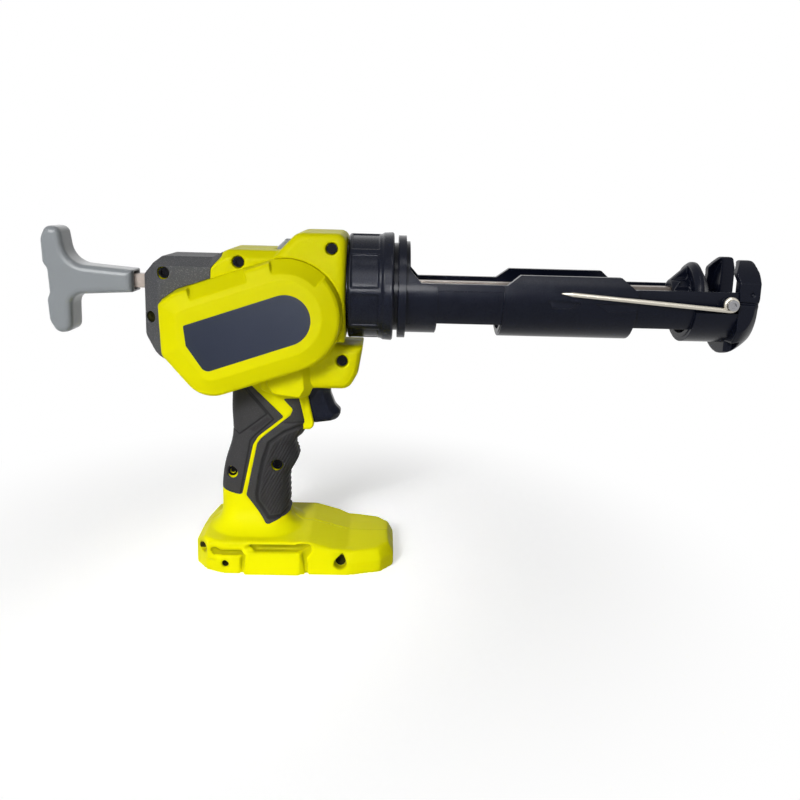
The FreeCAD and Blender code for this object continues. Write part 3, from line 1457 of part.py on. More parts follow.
def battery_terminals():
    """Three brass blades under the terminal block."""
    high = SOCKET_DEPTH - TERMINAL_BLOCK
    blades = []
    for offset in (-7.0, 0.0, 7.0):
        x = SOCKET_CENTRE + offset
        blades.append(box(x - 0.4, x + 0.4, -4, 4, high - TERMINAL_LENGTH, high))
    return Part.makeCompound(blades)


# Housing halves
def carrier_ribs():
    """Ribs inside the housing that seat the switch, the board, the potentiometer and the socket lining."""
    floor = BARREL_AXIS_HEIGHT
    rooted = GRIP_WIDTH / 2 - SHELL_WALL / 2
    seats_of_ribs = [
        (-30, -26, SWITCH_WIDTH / 2, floor + SWITCH_LOW, floor + SWITCH_HIGH),
        (-34, -18, BOARD_WIDTH / 2, BOARD_LOW - 2, BOARD_LOW + BOARD_THICKNESS + 2),
        (-34, -22, SOCKET_WIDTH / 2 + SOCKET_WALL, SOCKET_DEPTH - 12, SOCKET_DEPTH - 4),
    ]
    ribs = []
    for rear, front, half, low, high in seats_of_ribs:
        ribs.append(box(rear, front, -rooted, -half, low, high))
        ribs.append(box(rear, front, half, rooted, low, high))
    pot_top = floor + DIAL_AXIS_HEIGHT + POT_SIZE / 2
    half = POT_SIZE / 2
    ribs.append(box(DIAL_FRONT + 2, DIAL_FRONT + 8, -half, half, pot_top, floor + NOSE_TOP - SHELL_WALL / 2))
    return ribs


def base_pads():
    """Raised grip panels on both sides of the foot."""
    half = BASE_WIDTH / 2
    rear = BASE_PAD_CENTRE - BASE_PAD_LENGTH / 2
    front = BASE_PAD_CENTRE + BASE_PAD_LENGTH / 2
    plan = mirrored([
        (rear, -half - BASE_PAD_DEPTH),
        (front - 3, -half - BASE_PAD_DEPTH),
        (front + 1, -half + 3),
    ])
    pad = plan_slab(plan, [0.6, 0.6, 0, 0, 0.6, 0.6], 0, BASE_PAD_HEIGHT)
    return pad.cut(box(-EVERYWHERE, EVERYWHERE, -half + 2, half - 2, -1, EVERYWHERE))


def side_details():
    """Ledges over the raised panels and small moulded holes in the sides of the foot."""
    half = BASE_WIDTH / 2
    floor = -BARREL_AXIS_HEIGHT
    rear = BASE_PAD_CENTRE - BASE_PAD_LENGTH / 2
    front = BASE_PAD_CENTRE + BASE_PAD_LENGTH / 2
    low = floor + BASE_PAD_HEIGHT
    high = low + BASE_LEDGE_HEIGHT
    ledge = [(rear + 4, low), (front - 2, low), (front + 3, high), (rear - 1, high)]
    notch = [(rear - 20, low - 2), (rear - 1, low - 2), (rear - 1, high - 2), (rear - 19, high - 2)]
    cuts = []
    for side in (-1, 1):
        inner = side * (half - BASE_LEDGE_DEPTH)
        outer = side * (half + BASE_PAD_DEPTH + 1)
        cuts.append(side_slab(ledge, even_radii(ledge, 0.5), inner, outer))
        cuts.append(side_slab(notch, even_radii(notch, 0.5), inner, outer))
        inner, outer = sorted((side * (half - HOLE_DEPTH), side * (half + 3)))
        cuts.append(round_y(BASE_SIDE_HOLE / 2, inner, outer, BASE_SIDE_HOLE_X, floor + 6.5))
        cuts.append(round_y(LANYARD_HOLE / 2, inner, outer, LANYARD_HOLE_X, floor + 8.0))
    return joined(cuts)


def battery_recess():
    """Open underside of the foot that takes the battery's shoulders."""
    outline = base_outline()
    return plan_slab(outline, even_radii(outline, BASE_CORNER), -1, SHELL_WALL + 1, BASE_RIM)


def seats():
    """Every opening cut through the housing for a piece that sits in it or passes through it."""
    half = FRONT_BUSH_SIZE / 2
    cuts = [
        axis_box(BODY_REAR - 5, REAR_BUSH_FRONT, half, -half, half),
        round_x(MOUNT_RADIUS, NOSE_FRONT - SHELL_WALL - 1, NOSE_FRONT + 1),
        trigger_slot(),
        dial_slot(),
        battery_recess(),
        side_details(),
        side_slab(COVER_OUTLINE, COVER_RADII, -EVERYWHERE, GEAR_PLATE_Y - GEAR_PLATE, GEAR_OPENING_INSET),
        side_slab(COVER_OUTLINE, COVER_RADII, -EVERYWHERE, COVER_BASE_Y, -COVER_DRAFT),
    ]
    half_x = SOCKET_LENGTH / 2 + SOCKET_WALL
    half_y = SOCKET_WIDTH / 2 + SOCKET_WALL
    socket_top = SOCKET_DEPTH + SOCKET_WALL
    cuts.append(box(SOCKET_CENTRE - half_x, SOCKET_CENTRE + half_x, -half_y, half_y, SOCKET_LOW, socket_top))
    return cuts


REAR_BUSH_FRONT = BODY_REAR + 12.0


def left_badge_panel():
    """Low raised panel on the left side, in the place of the gear cover."""
    half = BODY_WIDTH / 2
    stations = [(half - SHELL_WALL / 2, 2.0), (half + 3.0, 3.5), (half + 3.8, 5.0)]
    return side_taper(COVER_OUTLINE, COVER_RADII, stations)


def screw_bosses():
    """Short columns on both walls that hold the screws' heads and tips."""
    columns = []
    for x, height, half in housing_screw_places():
        depth = SCREW_SINK + 3.0
        columns.append(round_y(SCREW_HOLE / 2 + 2, -half + 0.5, -half + depth, x, height))
        columns.append(round_y(SCREW_HOLE / 2 + 1, half - depth - 3, half - 0.5, x, height))
    return columns


def skins():
    """Name, form, side region and corner radii of the three overmoulded skins."""
    return [
        ("rear_overmould", rear_body, REAR_SKIN_REGION, REAR_SKIN_RADII),
        ("grip_rear_panel", grip_body, GRIP_REAR_REGION, GRIP_REAR_RADII),
        ("grip_front_panel", grip_body, GRIP_FRONT_REGION, GRIP_FRONT_RADII),
    ]


def trimmed_skins():
    """Each skin with its name, kept clear of the forms that stand in front of it."""
    drum = side_slab(COVER_OUTLINE, COVER_RADII, -EVERYWHERE, EVERYWHERE, -COVER_DRAFT)
    blockers = joined([drum, chin_body(0), brow_body(0), nose_body(0)])
    return [(name, skin_of(form, region, radii).cut(blockers)) for name, form, region, radii in skins()]


def housing(layers, openings):
    """Right and left clamshell halves."""
    outside = outer_form(0)
    shell = outside.cut(outer_form(SHELL_WALL))
    for extra in screw_bosses() + carrier_ribs():
        shell = shell.fuse(extra.common(outside))
    shell = shell.fuse(base_pads())
    for name, layer in layers:
        shell = shell.cut(layer)
    for opening in openings:
        shell = shell.cut(opening)
    right, left = halves(shell)
    left = left.fuse(left_badge_panel()).removeSplitter()
    return right, left


def main():
    """Build and write every sub-part."""
    layers = trimmed_skins()
    openings = [screw_holes()] + seats()
    right, left = housing(layers, openings)
    save("housing_right", right)
    save("housing_left", left)
    for name, layer in layers:
        for opening in openings:
            layer = layer.cut(opening)
        right, left = halves(layer)
        save(name + "_right", right)
        save(name + "_left", left)
    save("gear_cover", gear_cover())
    save("rating_label", label_plate(0))
    save("housing_screws", housing_screws())
    save("inner_gear_plate", inner_gear_plate())
    save("outer_gear_plate", outer_gear_plate())
    save("gear_posts", gear_posts())
    save("pinion_shaft", pinion_shaft())
    save("final_gear", final_gear())
    save("idler_gear", idler_gear())
    save("idler_axle", round_y(IDLER_AXLE / 2, OUTER_PLATE_Y - GEAR_PLATE, GEAR_PLATE_Y, IDLER_X, IDLER_Z))
    save("drive_pinion", drive_pinion())
    save("pinion_bush_inner", bush(GEAR_PLATE_Y - GEAR_PLATE, GEAR_PLATE_Y))
    save("pinion_bush_outer", bush(OUTER_PLATE_Y - GEAR_PLATE, OUTER_PLATE_Y))
    save("pinion_bush_left", bush(LEFT_BUSH_Y, PINION_SHAFT_LEFT))
    save("pinion_bearing_block", bearing_block())
    save("gearbox", gearbox())
    save("motor_can", motor_can())
    save("motor_end_bell", motor_end_bell())
    save("plunger_rod", plunger_rod())
    save("t_handle", t_handle())
    save("t_handle_pin", t_handle_pin())
    save("piston", piston())
    save("rod_bush_rear", rod_bush(BODY_REAR - 1.5, REAR_BUSH_FRONT))
    save("rod_bush_front", rod_bush(NOSE_FRONT - SHELL_WALL - 8, MOUNT_FLOOR))
    save("barrel_mount", barrel_mount())
    save("collar", collar())
    save("cradle", cradle())
    save("front_yoke", front_yoke())
    save("yoke_pins", Part.makeCompound([pin_rod(place) for place in pin_places()]))
    save("puncture_wire", puncture_wire())
    save("wire_pivot_screw", wire_pivot_screw())
    save("trigger", trigger())
    save("trigger_switch", trigger_switch())
    save("speed_dial", speed_dial())
    save("speed_potentiometer", speed_potentiometer())
    save("controller_board", controller_board())
    save("battery_socket", battery_socket())
    save("terminal_block", terminal_block())
    save("battery_terminals", battery_terminals())


main()
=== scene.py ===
import json
import math

import bmesh
import bpy
import numpy as np
from mathutils import Matrix, Vector

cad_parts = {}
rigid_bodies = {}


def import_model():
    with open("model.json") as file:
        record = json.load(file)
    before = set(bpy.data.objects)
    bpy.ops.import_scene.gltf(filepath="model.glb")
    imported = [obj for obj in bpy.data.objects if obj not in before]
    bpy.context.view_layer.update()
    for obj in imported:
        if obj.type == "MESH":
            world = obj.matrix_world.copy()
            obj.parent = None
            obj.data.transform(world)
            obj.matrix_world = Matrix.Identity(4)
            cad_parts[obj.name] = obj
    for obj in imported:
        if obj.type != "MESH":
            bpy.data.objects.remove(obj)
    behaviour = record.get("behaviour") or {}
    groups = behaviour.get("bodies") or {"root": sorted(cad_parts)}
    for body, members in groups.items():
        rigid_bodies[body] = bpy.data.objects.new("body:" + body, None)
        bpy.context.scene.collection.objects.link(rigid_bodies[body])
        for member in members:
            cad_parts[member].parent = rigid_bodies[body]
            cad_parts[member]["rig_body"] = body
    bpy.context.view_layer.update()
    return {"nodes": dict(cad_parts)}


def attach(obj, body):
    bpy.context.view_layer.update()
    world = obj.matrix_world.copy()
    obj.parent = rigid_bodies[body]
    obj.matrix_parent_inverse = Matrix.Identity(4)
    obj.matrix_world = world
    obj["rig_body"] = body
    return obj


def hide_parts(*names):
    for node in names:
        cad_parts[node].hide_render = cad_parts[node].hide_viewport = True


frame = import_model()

# Housing: two clamshell halves of gear housing, pistol grip and base, closed by six screws.
# They are moulded in lime-yellow glass-filled nylon, in a spark-eroded tool that leaves a fine satin grain.
# Every moulded edge is a little round, and a hairline shows where the halves meet on the middle plane.
mm = 0.001
SIDES = (("right", -1), ("left", 1))


class Value:
    """One output socket among a material's nodes. Arithmetic on it adds Math nodes."""

    def __init__(self, tree, socket=None):
        self.tree = tree
        self.socket = socket

    def node(self, kind, settings, sockets, output=0):
        """Add a node of that type, make its settings, fill or link its sockets, and give one output."""
        made = self.tree.nodes.new(kind)
        for name, setting in settings.items():
            setattr(made, name, setting)
        for name, given in sockets.items():
            if isinstance(given, Value):
                self.tree.links.new(given.socket, made.inputs[name])
            else:
                made.inputs[name].default_value = given
        return Value(self.tree, made.outputs[output])

    def math(self, operation, first, second=0.0):
        """One Math node on two values or numbers."""
        return self.node("ShaderNodeMath", {"operation": operation}, {0: first, 1: second})

    def __add__(self, other):
        return self.math("ADD", self, other)

    def __radd__(self, other):
        return self.math("ADD", other, self)

    def __sub__(self, other):
        return self.math("SUBTRACT", self, other)

    def __rsub__(self, other):
        return self.math("SUBTRACT", other, self)

    def __mul__(self, other):
        return self.math("MULTIPLY", self, other)

    def __rmul__(self, other):
        return self.math("MULTIPLY", other, self)

    def __abs__(self):
        return self.math("ABSOLUTE", self)

    def step(self, low, high):
        """A smooth rise from 0 where the value is low to 1 where it is high."""
        ends = {"From Min": low, "From Max": high, "Value": self}
        return self.node("ShaderNodeMapRange", {"interpolation_type": "SMOOTHSTEP"}, ends)

    def mix(self, first, second):
        """A colour that goes from first to second as this value goes from 0 to 1.
        Inputs 6 and 7 and output 2 are the Mix node's colour sockets."""
        both = {"Factor": self, 6: (*first, 1.0) if isinstance(first, tuple) else first,
                7: (*second, 1.0) if isinstance(second, tuple) else second}
        return self.node("ShaderNodeMix", {"data_type": "RGBA"}, both, 2)


def new_material(name):
    """A material with its shader and output: gives the material, its shader and the piece's coordinates."""
    made = bpy.data.materials.new(name)
    made.use_nodes = True
    tree = made.node_tree
    place = Value(tree, tree.nodes.new("ShaderNodeTexCoord").outputs["Object"])
    return made, tree.nodes["Principled BSDF"], place


def feed(shader, **sockets):
    """Link values to the shader's sockets, or set them where they are the same all over."""
    for name, given in sockets.items():
        socket = shader.inputs[name.replace("_", " ")]
        if isinstance(given, Value):
            given.tree.links.new(given.socket, socket)
        else:
            socket.default_value = given


def noise(place, size, detail=2.0, stretch=(1.0, 1.0, 1.0)):
    """Cloudy noise from 0 to 1 with spots about size metres across, drawn out along an axis by stretch."""
    scale = tuple(1.0 / (size * part) for part in stretch)
    spread = place.node("ShaderNodeMapping", {}, {"Vector": place, "Scale": scale})
    return place.node("ShaderNodeTexNoise", {}, {"Vector": spread, "Scale": 1.0, "Detail": detail})


def bump(height, strength, depth, edge=0.0):
    """A normal tilted by that height field, which is depth metres from 0 to 1.
    Where edge is a radius, the normal also turns softly over sharp edges."""
    sockets = {"Height": height, "Strength": strength, "Distance": depth}
    if edge:
        sockets["Normal"] = height.node("ShaderNodeBevel", {"samples": 6}, {"Radius": edge})
    return height.node("ShaderNodeBump", {}, sockets)


def moulded(name, colour, shade, roughness, grain, grain_depth, shine, seam=False, painted_shade=None, speckle_highlight=0.0,
            edge=0.0):
    """Moulded plastic: a colour that wanders a little towards a shade, and a fine eroded grain.
    A seam is a dark hairline on the middle plane. The deep colour is painted shade, shown where the "deep"
    attribute is 1.
    Speckle is how far the grain's crests go towards a lighter tone, as painted highlights, and edge the
    radius of a soft edge."""
    made, shader, place = new_material(name)
    cloud = noise(place, 22 * mm, 3.0)
    fine = noise(place, grain, 2.0)
    tone = (cloud * 0.7 + fine * 0.3).mix(colour, shade)
    height = fine
    if seam:
        across = place.node("ShaderNodeSeparateXYZ", {}, {0: place}, 1)
        line = abs(across).step(0.05 * mm, 0.22 * mm)
        tone = line.mix(tuple(0.45 * part for part in colour), tone)
        height = fine * 0.25 + line
    # Painted highlights: the grain's crests go lighter in fine specks.
    if speckle_highlight:
        highlight_crest = noise(place, 1.6 * grain, 1.0).step(0.56, 0.72) * speckle_highlight
        tone = highlight_crest.mix(tone, tuple(2.2 * part for part in colour))
    # Painted shade: the deep colour is laid where the "deep" attribute says.
    if painted_shade:
        sunk = place.node("ShaderNodeAttribute", {"attribute_name": "painted_shade"}, {}, "Fac")
        tone = sunk.mix(tone, painted_shade)
    feed(shader, Base_Color=tone, Roughness=roughness + (cloud - 0.5) * 0.1 + (fine - 0.5) * 0.12,
         Specular_IOR_Level=shine, Normal=bump(height, 0.6, grain_depth, edge))
    return made


def prism(outline, low, high, end=None):
    """Points and faces of a solid: an outline of (x, z) drawn along Y from low to high, in mm.
    At the high end it may go over into another outline with as many corners."""
    rings = (np.array(outline, float), np.array(outline if end is None else end, float))
    ends = [np.insert(ring, 1, y, axis=1) * mm for ring, y in zip(rings, (low, high))]
    count = len(outline)
    here = np.arange(count)
    beside = (here + 1) % count
    walls = np.stack((here, beside, beside + count, here + count), axis=1)
    return np.concatenate(ends), [here[::-1].tolist(), (here + count).tolist(), *walls.tolist()]


def disc(x, z, radius, count=28):
    """Corners of a round outline: points at equal parts of a full turn round (x, z)."""
    angle = 2 * np.pi * np.arange(count) / count
    return np.stack((x + radius * np.cos(angle), z + radius * np.sin(angle)), axis=1)


def shaped_by(piece, operation, solids):
    """Add solids to a piece, or take them away, by a Boolean modifier; gives the solids' objects."""
    tools = []
    for points, faces in solids:
        mesh = bpy.data.meshes.new("tool")
        mesh.from_pydata(points, [], faces)
        sheet = bmesh.new()
        sheet.from_mesh(mesh)
        bmesh.ops.recalc_face_normals(sheet, faces=sheet.faces)
        sheet.to_mesh(mesh)
        sheet.free()
        tools.append(bpy.data.objects.new("tool", mesh))
        bpy.context.scene.collection.objects.link(tools[-1])
        shaping = piece.modifiers.new("shaping", "BOOLEAN")
        shaping.operation = operation
        shaping.object = tools[-1]
    return tools


def copied(name, material):
    """A piece that stands for a node: a copy of its mesh with the doubled points merged."""
    mesh = frame["nodes"][name].data.copy()
    sheet = bmesh.new()
    sheet.from_mesh(mesh)
    bmesh.ops.remove_doubles(sheet, verts=sheet.verts, dist=0.001 * mm)
    sheet.to_mesh(mesh)
    sheet.free()
    mesh.materials.clear()
    mesh.materials.append(material)
    piece = bpy.data.objects.new(name + "_finished", mesh)
    bpy.context.scene.collection.objects.link(piece)
    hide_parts(name)
    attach(piece, frame["nodes"][name]["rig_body"])
    return piece


def softened(name, material, cell, passes=3, added=(), cut=()):
    """The node's shape with round edges: rebuilt on a grid of small cells, then evened out in passes.
    Small solids that the frame leaves out are added to it or cut from it first."""
    piece = copied(name, material)
    tools = shaped_by(piece, "UNION", added) + shaped_by(piece, "DIFFERENCE", cut)
    grid = piece.modifiers.new("grid", "REMESH")
    grid.mode = "VOXEL"
    grid.voxel_size = cell
    grid.use_smooth_shade = True
    even = piece.modifiers.new("even", "SMOOTH")
    even.factor = 0.5
    even.iterations = passes
    ready = piece.evaluated_get(bpy.context.evaluated_depsgraph_get())
    piece.data = bpy.data.meshes.new_from_object(ready)
    piece.modifiers.clear()
    for tool in tools:
        bpy.data.objects.remove(tool)
    piece.data.materials.clear()
    piece.data.materials.append(material)
    return piece


def spots(mesh):
    """A mesh's points as an array of rows of x, y and z in mm."""
    spot = np.empty(3 * len(mesh.vertices))
    mesh.vertices.foreach_get("co", spot)
    return spot.reshape(-1, 3) / mm


def reshaped(piece, change):
    """Move a piece's points: change takes and gives arrays of x, y and z in mm."""
    moved = np.stack(change(*spots(piece.data).T), axis=1) * mm
    piece.data.vertices.foreach_set("co", moved.ravel())
    piece.data.update()


def with_painted_shade(piece, tone):
    """Keep a painted shade from 0 to 1 in a piece's "deep" attribute: tone takes arrays of x, y and z in mm.
    """
    shade = tone(*spots(piece.data).T)
    piece.data.attributes.new("painted_shade", "FLOAT", "POINT").data.foreach_set("value", shade)


def within(x, z, outline):
    """Which points a closed outline holds: a level line to their right crosses it an odd number of times."""
    near = np.array(outline)
    far = np.roll(near, -1, axis=0)
    straddles = (near[:, 1] > z[:, None]) != (far[:, 1] > z[:, None])
    rise = np.where(far[:, 1] == near[:, 1], 1.0, far[:, 1] - near[:, 1])
    meets = near[:, 0] + (z[:, None] - near[:, 1]) * (far[:, 0] - near[:, 0]) / rise
    return (straddles & (meets > x[:, None])).sum(axis=1) % 2 == 1


LIME = (0.790, 0.755, 0.001)
LIME_SHADE = (0.750, 0.712, 0.001)
# Its deep colour is painted shade, laid in the base's slots, grooves and rear holes.
lime_nylon = moulded("lime_nylon", LIME, LIME_SHADE, 0.42, 0.45 * mm, 0.020 * mm, 0.03, seam=True,
                     painted_shade=(0.400, 0.372, 0.001))

# Outlines and holes in the housing's sides as (x, z), and distances from the middle plane, all in mm.
side_face = 37.8
outside = 42.0
lanyard_hole = (31.5, 8.0)
lanyard_radius = 3.5
foot_hole = (-61.0, 14.5)
foot_hole_radius = 3.0
body_hole = (-93.0, 169.0)
over_pad = [(-31.0, 20.6), (13.4, 21.0), (5.6, 15.6), (-25.5, 15.2)]
rear_slot = [(-54.5, 17.8), (-51.0, 17.4), (-48.0, 15.6), (-33.2, 15.7), (-33.0, 12.2), (-52.8, 12.2),
             (-54.9, 15.2)]
pad_rear = [(-34.6, 13.0), (-30.6, 15.9), (-33.0, -2.0), (-34.6, -2.0)]
pad_front = [(5.4, 16.3), (12.4, 20.2), (12.4, 16.2), (9.4, 11.5), (10.2, -2.0), (8.2, -2.0)]
drop = [(27.4, 9.0), (32.6, 15.4), (35.8, 9.0)]
eye = disc(31.4, 8.0, 4.3)
backing = [(-57, 9), (14, 9), (14, 20.8), (-57, 20.8)]
eye_backing = [(25, 2.5), (38, 2.5), (38, 16), (25, 16)]
corner_rear = [(-63.5, 10), (-54, 10), (-54, 18.5), (-60, 18.5), (-63.5, 15)]
corner_front = [(-57.5, 10), (-54, 10), (-54, 18.5), (-56, 18.5), (-57.5, 15)]
floors = [(over_pad, 33.2), (rear_slot, 34.0), (pad_rear, 35.2), (pad_front, 35.2), (drop, 34.0), (eye, 34.0),
          (disc(*lanyard_hole, lanyard_radius), 29), (disc(*body_hole, 5.2), 16.5),
          (disc(*foot_hole, foot_hole_radius), 24.5)]


def slot_painted_shade(x, y, z, fade=2.5, wall_back=32, hole_floor=23):
    """Painted shade in the base's slots, grooves and rear holes: full from a fade's length under the face
    down.
    """
    slots = within(x, z, over_pad) | within(x, z, rear_slot) | within(x, z, drop) | within(x, z, eye)
    grooves = within(x, z, pad_rear) | within(x, z, pad_front)
    depth = np.clip((side_face - abs(y)) / fade, 0, 1) * (abs(y) > wall_back)
    hollow = within(x, z, disc(*foot_hole, 1.1 * foot_hole_radius)) * (abs(y) > hole_floor)
    return np.maximum((slots + 0.8 * grooves * ~slots) * depth, hollow)


def front_draft(x, y, z, lip=8.8, bend=27, crown=40, nose=67):
    """The base's front half leans in above its lip: each point goes in by half its height over the lip.
    The lean sets in over 8 mm from the bend on, and shortens the base from the crown to the nose."""
    lean = 0.5 * np.clip(z - lip, 0, 9) * np.clip((x - bend) / 8, 0, 1) * (z < 30)
    return x - lean * np.clip((x - crown) / (nose - crown), 0, 1), y * (1 - lean / 38), z


for side, y_sign in SIDES:
    cuts = [prism(outline, y_sign * floor, y_sign * outside) for outline, floor in floors]
    behind = [prism(backing, y_sign * 30, y_sign * 36.5), prism(eye_backing, y_sign * 31, y_sign * 36.6),
              prism(corner_rear, y_sign * 18, y_sign * 33, corner_front)]
    shell = softened(f"housing_{side}", lime_nylon, 0.95 * mm, added=behind, cut=cuts)
    reshaped(shell, front_draft)
    # Painted shade in the base's slots, grooves and rear holes, kept in the shell's "deep" attribute.
    with_painted_shade(shell, slot_painted_shade)


# Blind bosses and plugs: round cups behind the holes in the base's sides, for a lanyard and a tool hook,
# and the floors of the rear holes in base and body.
# They are moulded with the housing, so the holes end and don't open into the battery bay; their near-black
# colour is painted shade in the holes.
def new_piece(name, points, faces, body, material):
    """A smooth-shaded object at the origin from arrays of points and faces, riding on a body."""
    mesh = bpy.data.meshes.new(name)
    mesh.from_pydata(points, [], faces)
    mesh.shade_smooth()
    mesh.materials.append(material)
    piece = bpy.data.objects.new(name, mesh)
    bpy.context.scene.collection.objects.link(piece)
    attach(piece, body)
    return piece


def turned(profile, centre, count):
    """Points and faces of a closed ring: a closed profile of (radius, y), turned about an axis along Y.
    Point (i, j) is the profile's point i at j equal parts of a full turn round the centre (x, z)."""
    radius, along = np.array(profile).T[:, :, None]
    angle = 2 * np.pi * np.arange(count) / count
    x = centre[0] + radius * np.cos(angle)
    z = centre[1] + radius * np.sin(angle)
    points = np.stack((x, along + 0 * angle, z), axis=-1).reshape(-1, 3)
    i, j = np.meshgrid(np.arange(len(profile)), np.arange(count), indexing="ij")
    after = (i + 1) % len(profile)
    beside = (j + 1) % count
    corners = (i * count + j, i * count + beside, after * count + beside, after * count + j)
    return points, np.stack(corners, axis=-1).reshape(-1, 4)


def round_piece(name, profile, centre, y_sign):
    """A small turned piece on one side of the tool: its profile is (radius, distance from the middle plane)
    in mm, and is run through backwards on the left, so that the faces point outwards on both sides."""
    ring = [(radius * mm, y_sign * along * mm) for radius, along in profile[::-y_sign]]
    points, faces = turned(ring, (centre[0] * mm, centre[1] * mm), 32)
    new_piece(name, points, faces, "housing", painted_hole_shade)


# Painted shade: the cups and plugs are near black, for the shade inside the holes, not the housing's lime.
painted_hole_shade = moulded("painted_hole_shade", (0.020, 0.019, 0.004), (0.026, 0.025, 0.005), 0.7, 0.5 * mm, 0.02 * mm,
                       0.05)
core = 0.02
cup_mouth = 33.4
cup_back = 29.6
cup_floor = cup_back + 1
for side, y_sign in SIDES:
    for use, centre, hole in (("hook", (-45.0, 6.5), 2.4), ("lanyard", lanyard_hole, lanyard_radius)):
        inner = hole + 0.05
        outer = hole + 1.2
        cup = [(inner, cup_mouth), (inner, cup_floor), (core, cup_floor), (core, cup_back), (outer, cup_back),
               (outer, cup_mouth)]
        round_piece(f"{use}_boss_{side}", cup, centre, y_sign)
    for use, centre, hole, low, high in (("foot_rear", foot_hole, foot_hole_radius, 23.9, 24.9),
                                         ("body_rear", body_hole, 4.8, 15.0, 17.9)):
        plug = [(core, low), (hole, low), (hole, high), (core, high)]
        round_piece(f"{use}_plug_{side}", plug, centre, y_sign)

# Gear cover: one moulding of the same nylon over the gear train, screwed on from inside.
# Its shoulder is cut by a straight and a round facet, and its flat top takes the label.
cover_nylon = moulded("cover_nylon", LIME, LIME_SHADE, 0.42, 0.45 * mm, 0.020 * mm, 0.03)
softened("gear_cover", cover_nylon, 0.6 * mm, 2)

# Brow blocks: faceted wedges between the cover and the trigger, moulded on the housing's sides.
# They stand out from the shell in flat faces with a narrow bevel, so they keep their crisp edges.
brow_root = [(-20.5, 127.0), (-15.0, 118.2), (2.6, 117.0), (8.8, 118.6), (11.6, 125.0), (10.6, 142.5),
             (-20.5, 137.0)]
brow_face = [(-17.6, 126.0), (-13.6, 121.0), (2.4, 119.0), (2.6, 119.2), (5.6, 124.0), (4.6, 141.5),
             (-17.6, 137.0)]
for side, y_sign in SIDES:
    points, faces = prism(brow_root, 20.5, 28.6, brow_face)
    brow = new_piece(f"brow_block_{side}", points * (1, y_sign, 1), [face[::y_sign] for face in faces],
                     "housing", cover_nylon)
    narrow = brow.modifiers.new("narrow", "BEVEL")
    narrow.width = 0.5 * mm
    narrow.segments = 3
    narrow.harden_normals = True

# Rear overmould: a dark grey elastomer skin on the rear of the gear housing, shot into a shallow pocket
# of each shell. Its sandy grain has fine specks painted lighter as painted highlights, and a round hole goes
# through it.
rear_skin = moulded("rear_skin", (0.086, 0.087, 0.092), (0.066, 0.067, 0.071), 0.60, 0.35 * mm, 0.06 * mm,
                    0.14, speckle_highlight=0.9)
for side, y_sign in SIDES:
    rear_hole = prism(disc(*body_hole, 3.6), y_sign * 15, y_sign * outside)
    softened(f"rear_overmould_{side}", rear_skin, 0.5 * mm, cut=[rear_hole])

# Grip skins: the same elastomer in a front and a rear panel on each side of the grip.
# The front one has a sunk border round a finely ribbed field, the rear one a block, a line and a patch.
# The pattern is cut into the mould, so here it moves the skin's outer face. Its grooves get painted shade,
# and its ribbed fields are painted darker.
BARREL_AXIS = 190.0
grip_core = (-20.0, 0.0)


def line_distance(x, z, line):
    """Distance of every point from a broken line: the least of its distances from the straight stretches."""
    spot = np.stack((x, z), axis=-1)[:, None]
    start = np.array(line[:-1])
    run = np.diff(np.array(line), axis=0)
    share = np.clip(((spot - start) * run).sum(axis=-1) / (run * run).sum(axis=-1), 0, 1)
    return np.linalg.norm(spot - start - share[..., None] * run, axis=-1).min(axis=1)


def ribs(x, z, pitch=1.9, lean=math.radians(62)):
    """A wave from -1 to 1 across slanting ribs that rise to the front at that lean."""
    return np.sin(2 * np.pi * (x * math.sin(lean) - z * math.cos(lean)) / pitch)


def front_pattern(x, z):
    """Height out of the skin and depth of painted shade, in mm from the barrel's axis: a round-bottomed
    border groove outside the field, ribs inside it, and a short groove above. The painted shade lies in the
    grooves and the ribbed field."""
    field = [(25, -90), (-0.2, -96.3), (-7.0, -99.0), (-16.9, -106.4), (-20.9, -118.8), (-23.2, -129.9),
             (-25.0, -141.8), (-24.8, -145.8), (-17.6, -156.0), (-10.7, -155.8), (-3.5, -150.0), (25, -140)]
    away = line_distance(x, z, field + field[:1])
    inside = within(x, z, field)
    trench = np.clip(1 - ((away - 1.5) / 1.6) ** 2, 0, 1) * ~inside
    ramp = np.clip(away / 1.2, 0, 1) * inside
    brow = np.clip(1 - (line_distance(x, z, [(-8, -91.2), (12, -91.0)]) / 0.9) ** 2, 0, 1)
    height = 0.24 * ribs(x, z) * ramp - 0.95 * trench - 0.35 * brow
    return height, np.clip(0.45 * ramp + 0.8 * trench + 0.5 * brow, 0, 1)


def rear_pattern(x, z):
    """Height out of the skin and depth of painted shade, in mm from the barrel's axis: fine grooves round the
    block and along the border, and a ribbed patch, where the shade is painted in."""
    block = [(-34, -68.7), (-31.5, -71.6), (-19.6, -85.3), (-38.5, -100.1), (-41.2, -98.5), (-60, -94)]
    border = [(-33, -67.8), (-29.6, -71.9), (-15.3, -89.0), (-27.4, -100.1), (-30.8, -104.1),
              (-37.6, -140.7)]
    patch = [(-19.6, -86.6), (-16.6, -89.0), (-28.0, -98.4), (-32.4, -96.2)]
    lines = np.minimum(line_distance(x, z, block), line_distance(x, z, border))
    groove = np.clip(1 - (lines / 0.8) ** 2, 0, 1)
    ramp = np.clip(line_distance(x, z, patch + patch[:1]), 0, 1) * within(x, z, patch)
    return 0.2 * ribs(x, z) * ramp - 0.55 * groove, np.clip(0.4 * ramp + 0.9 * groove, 0, 1)


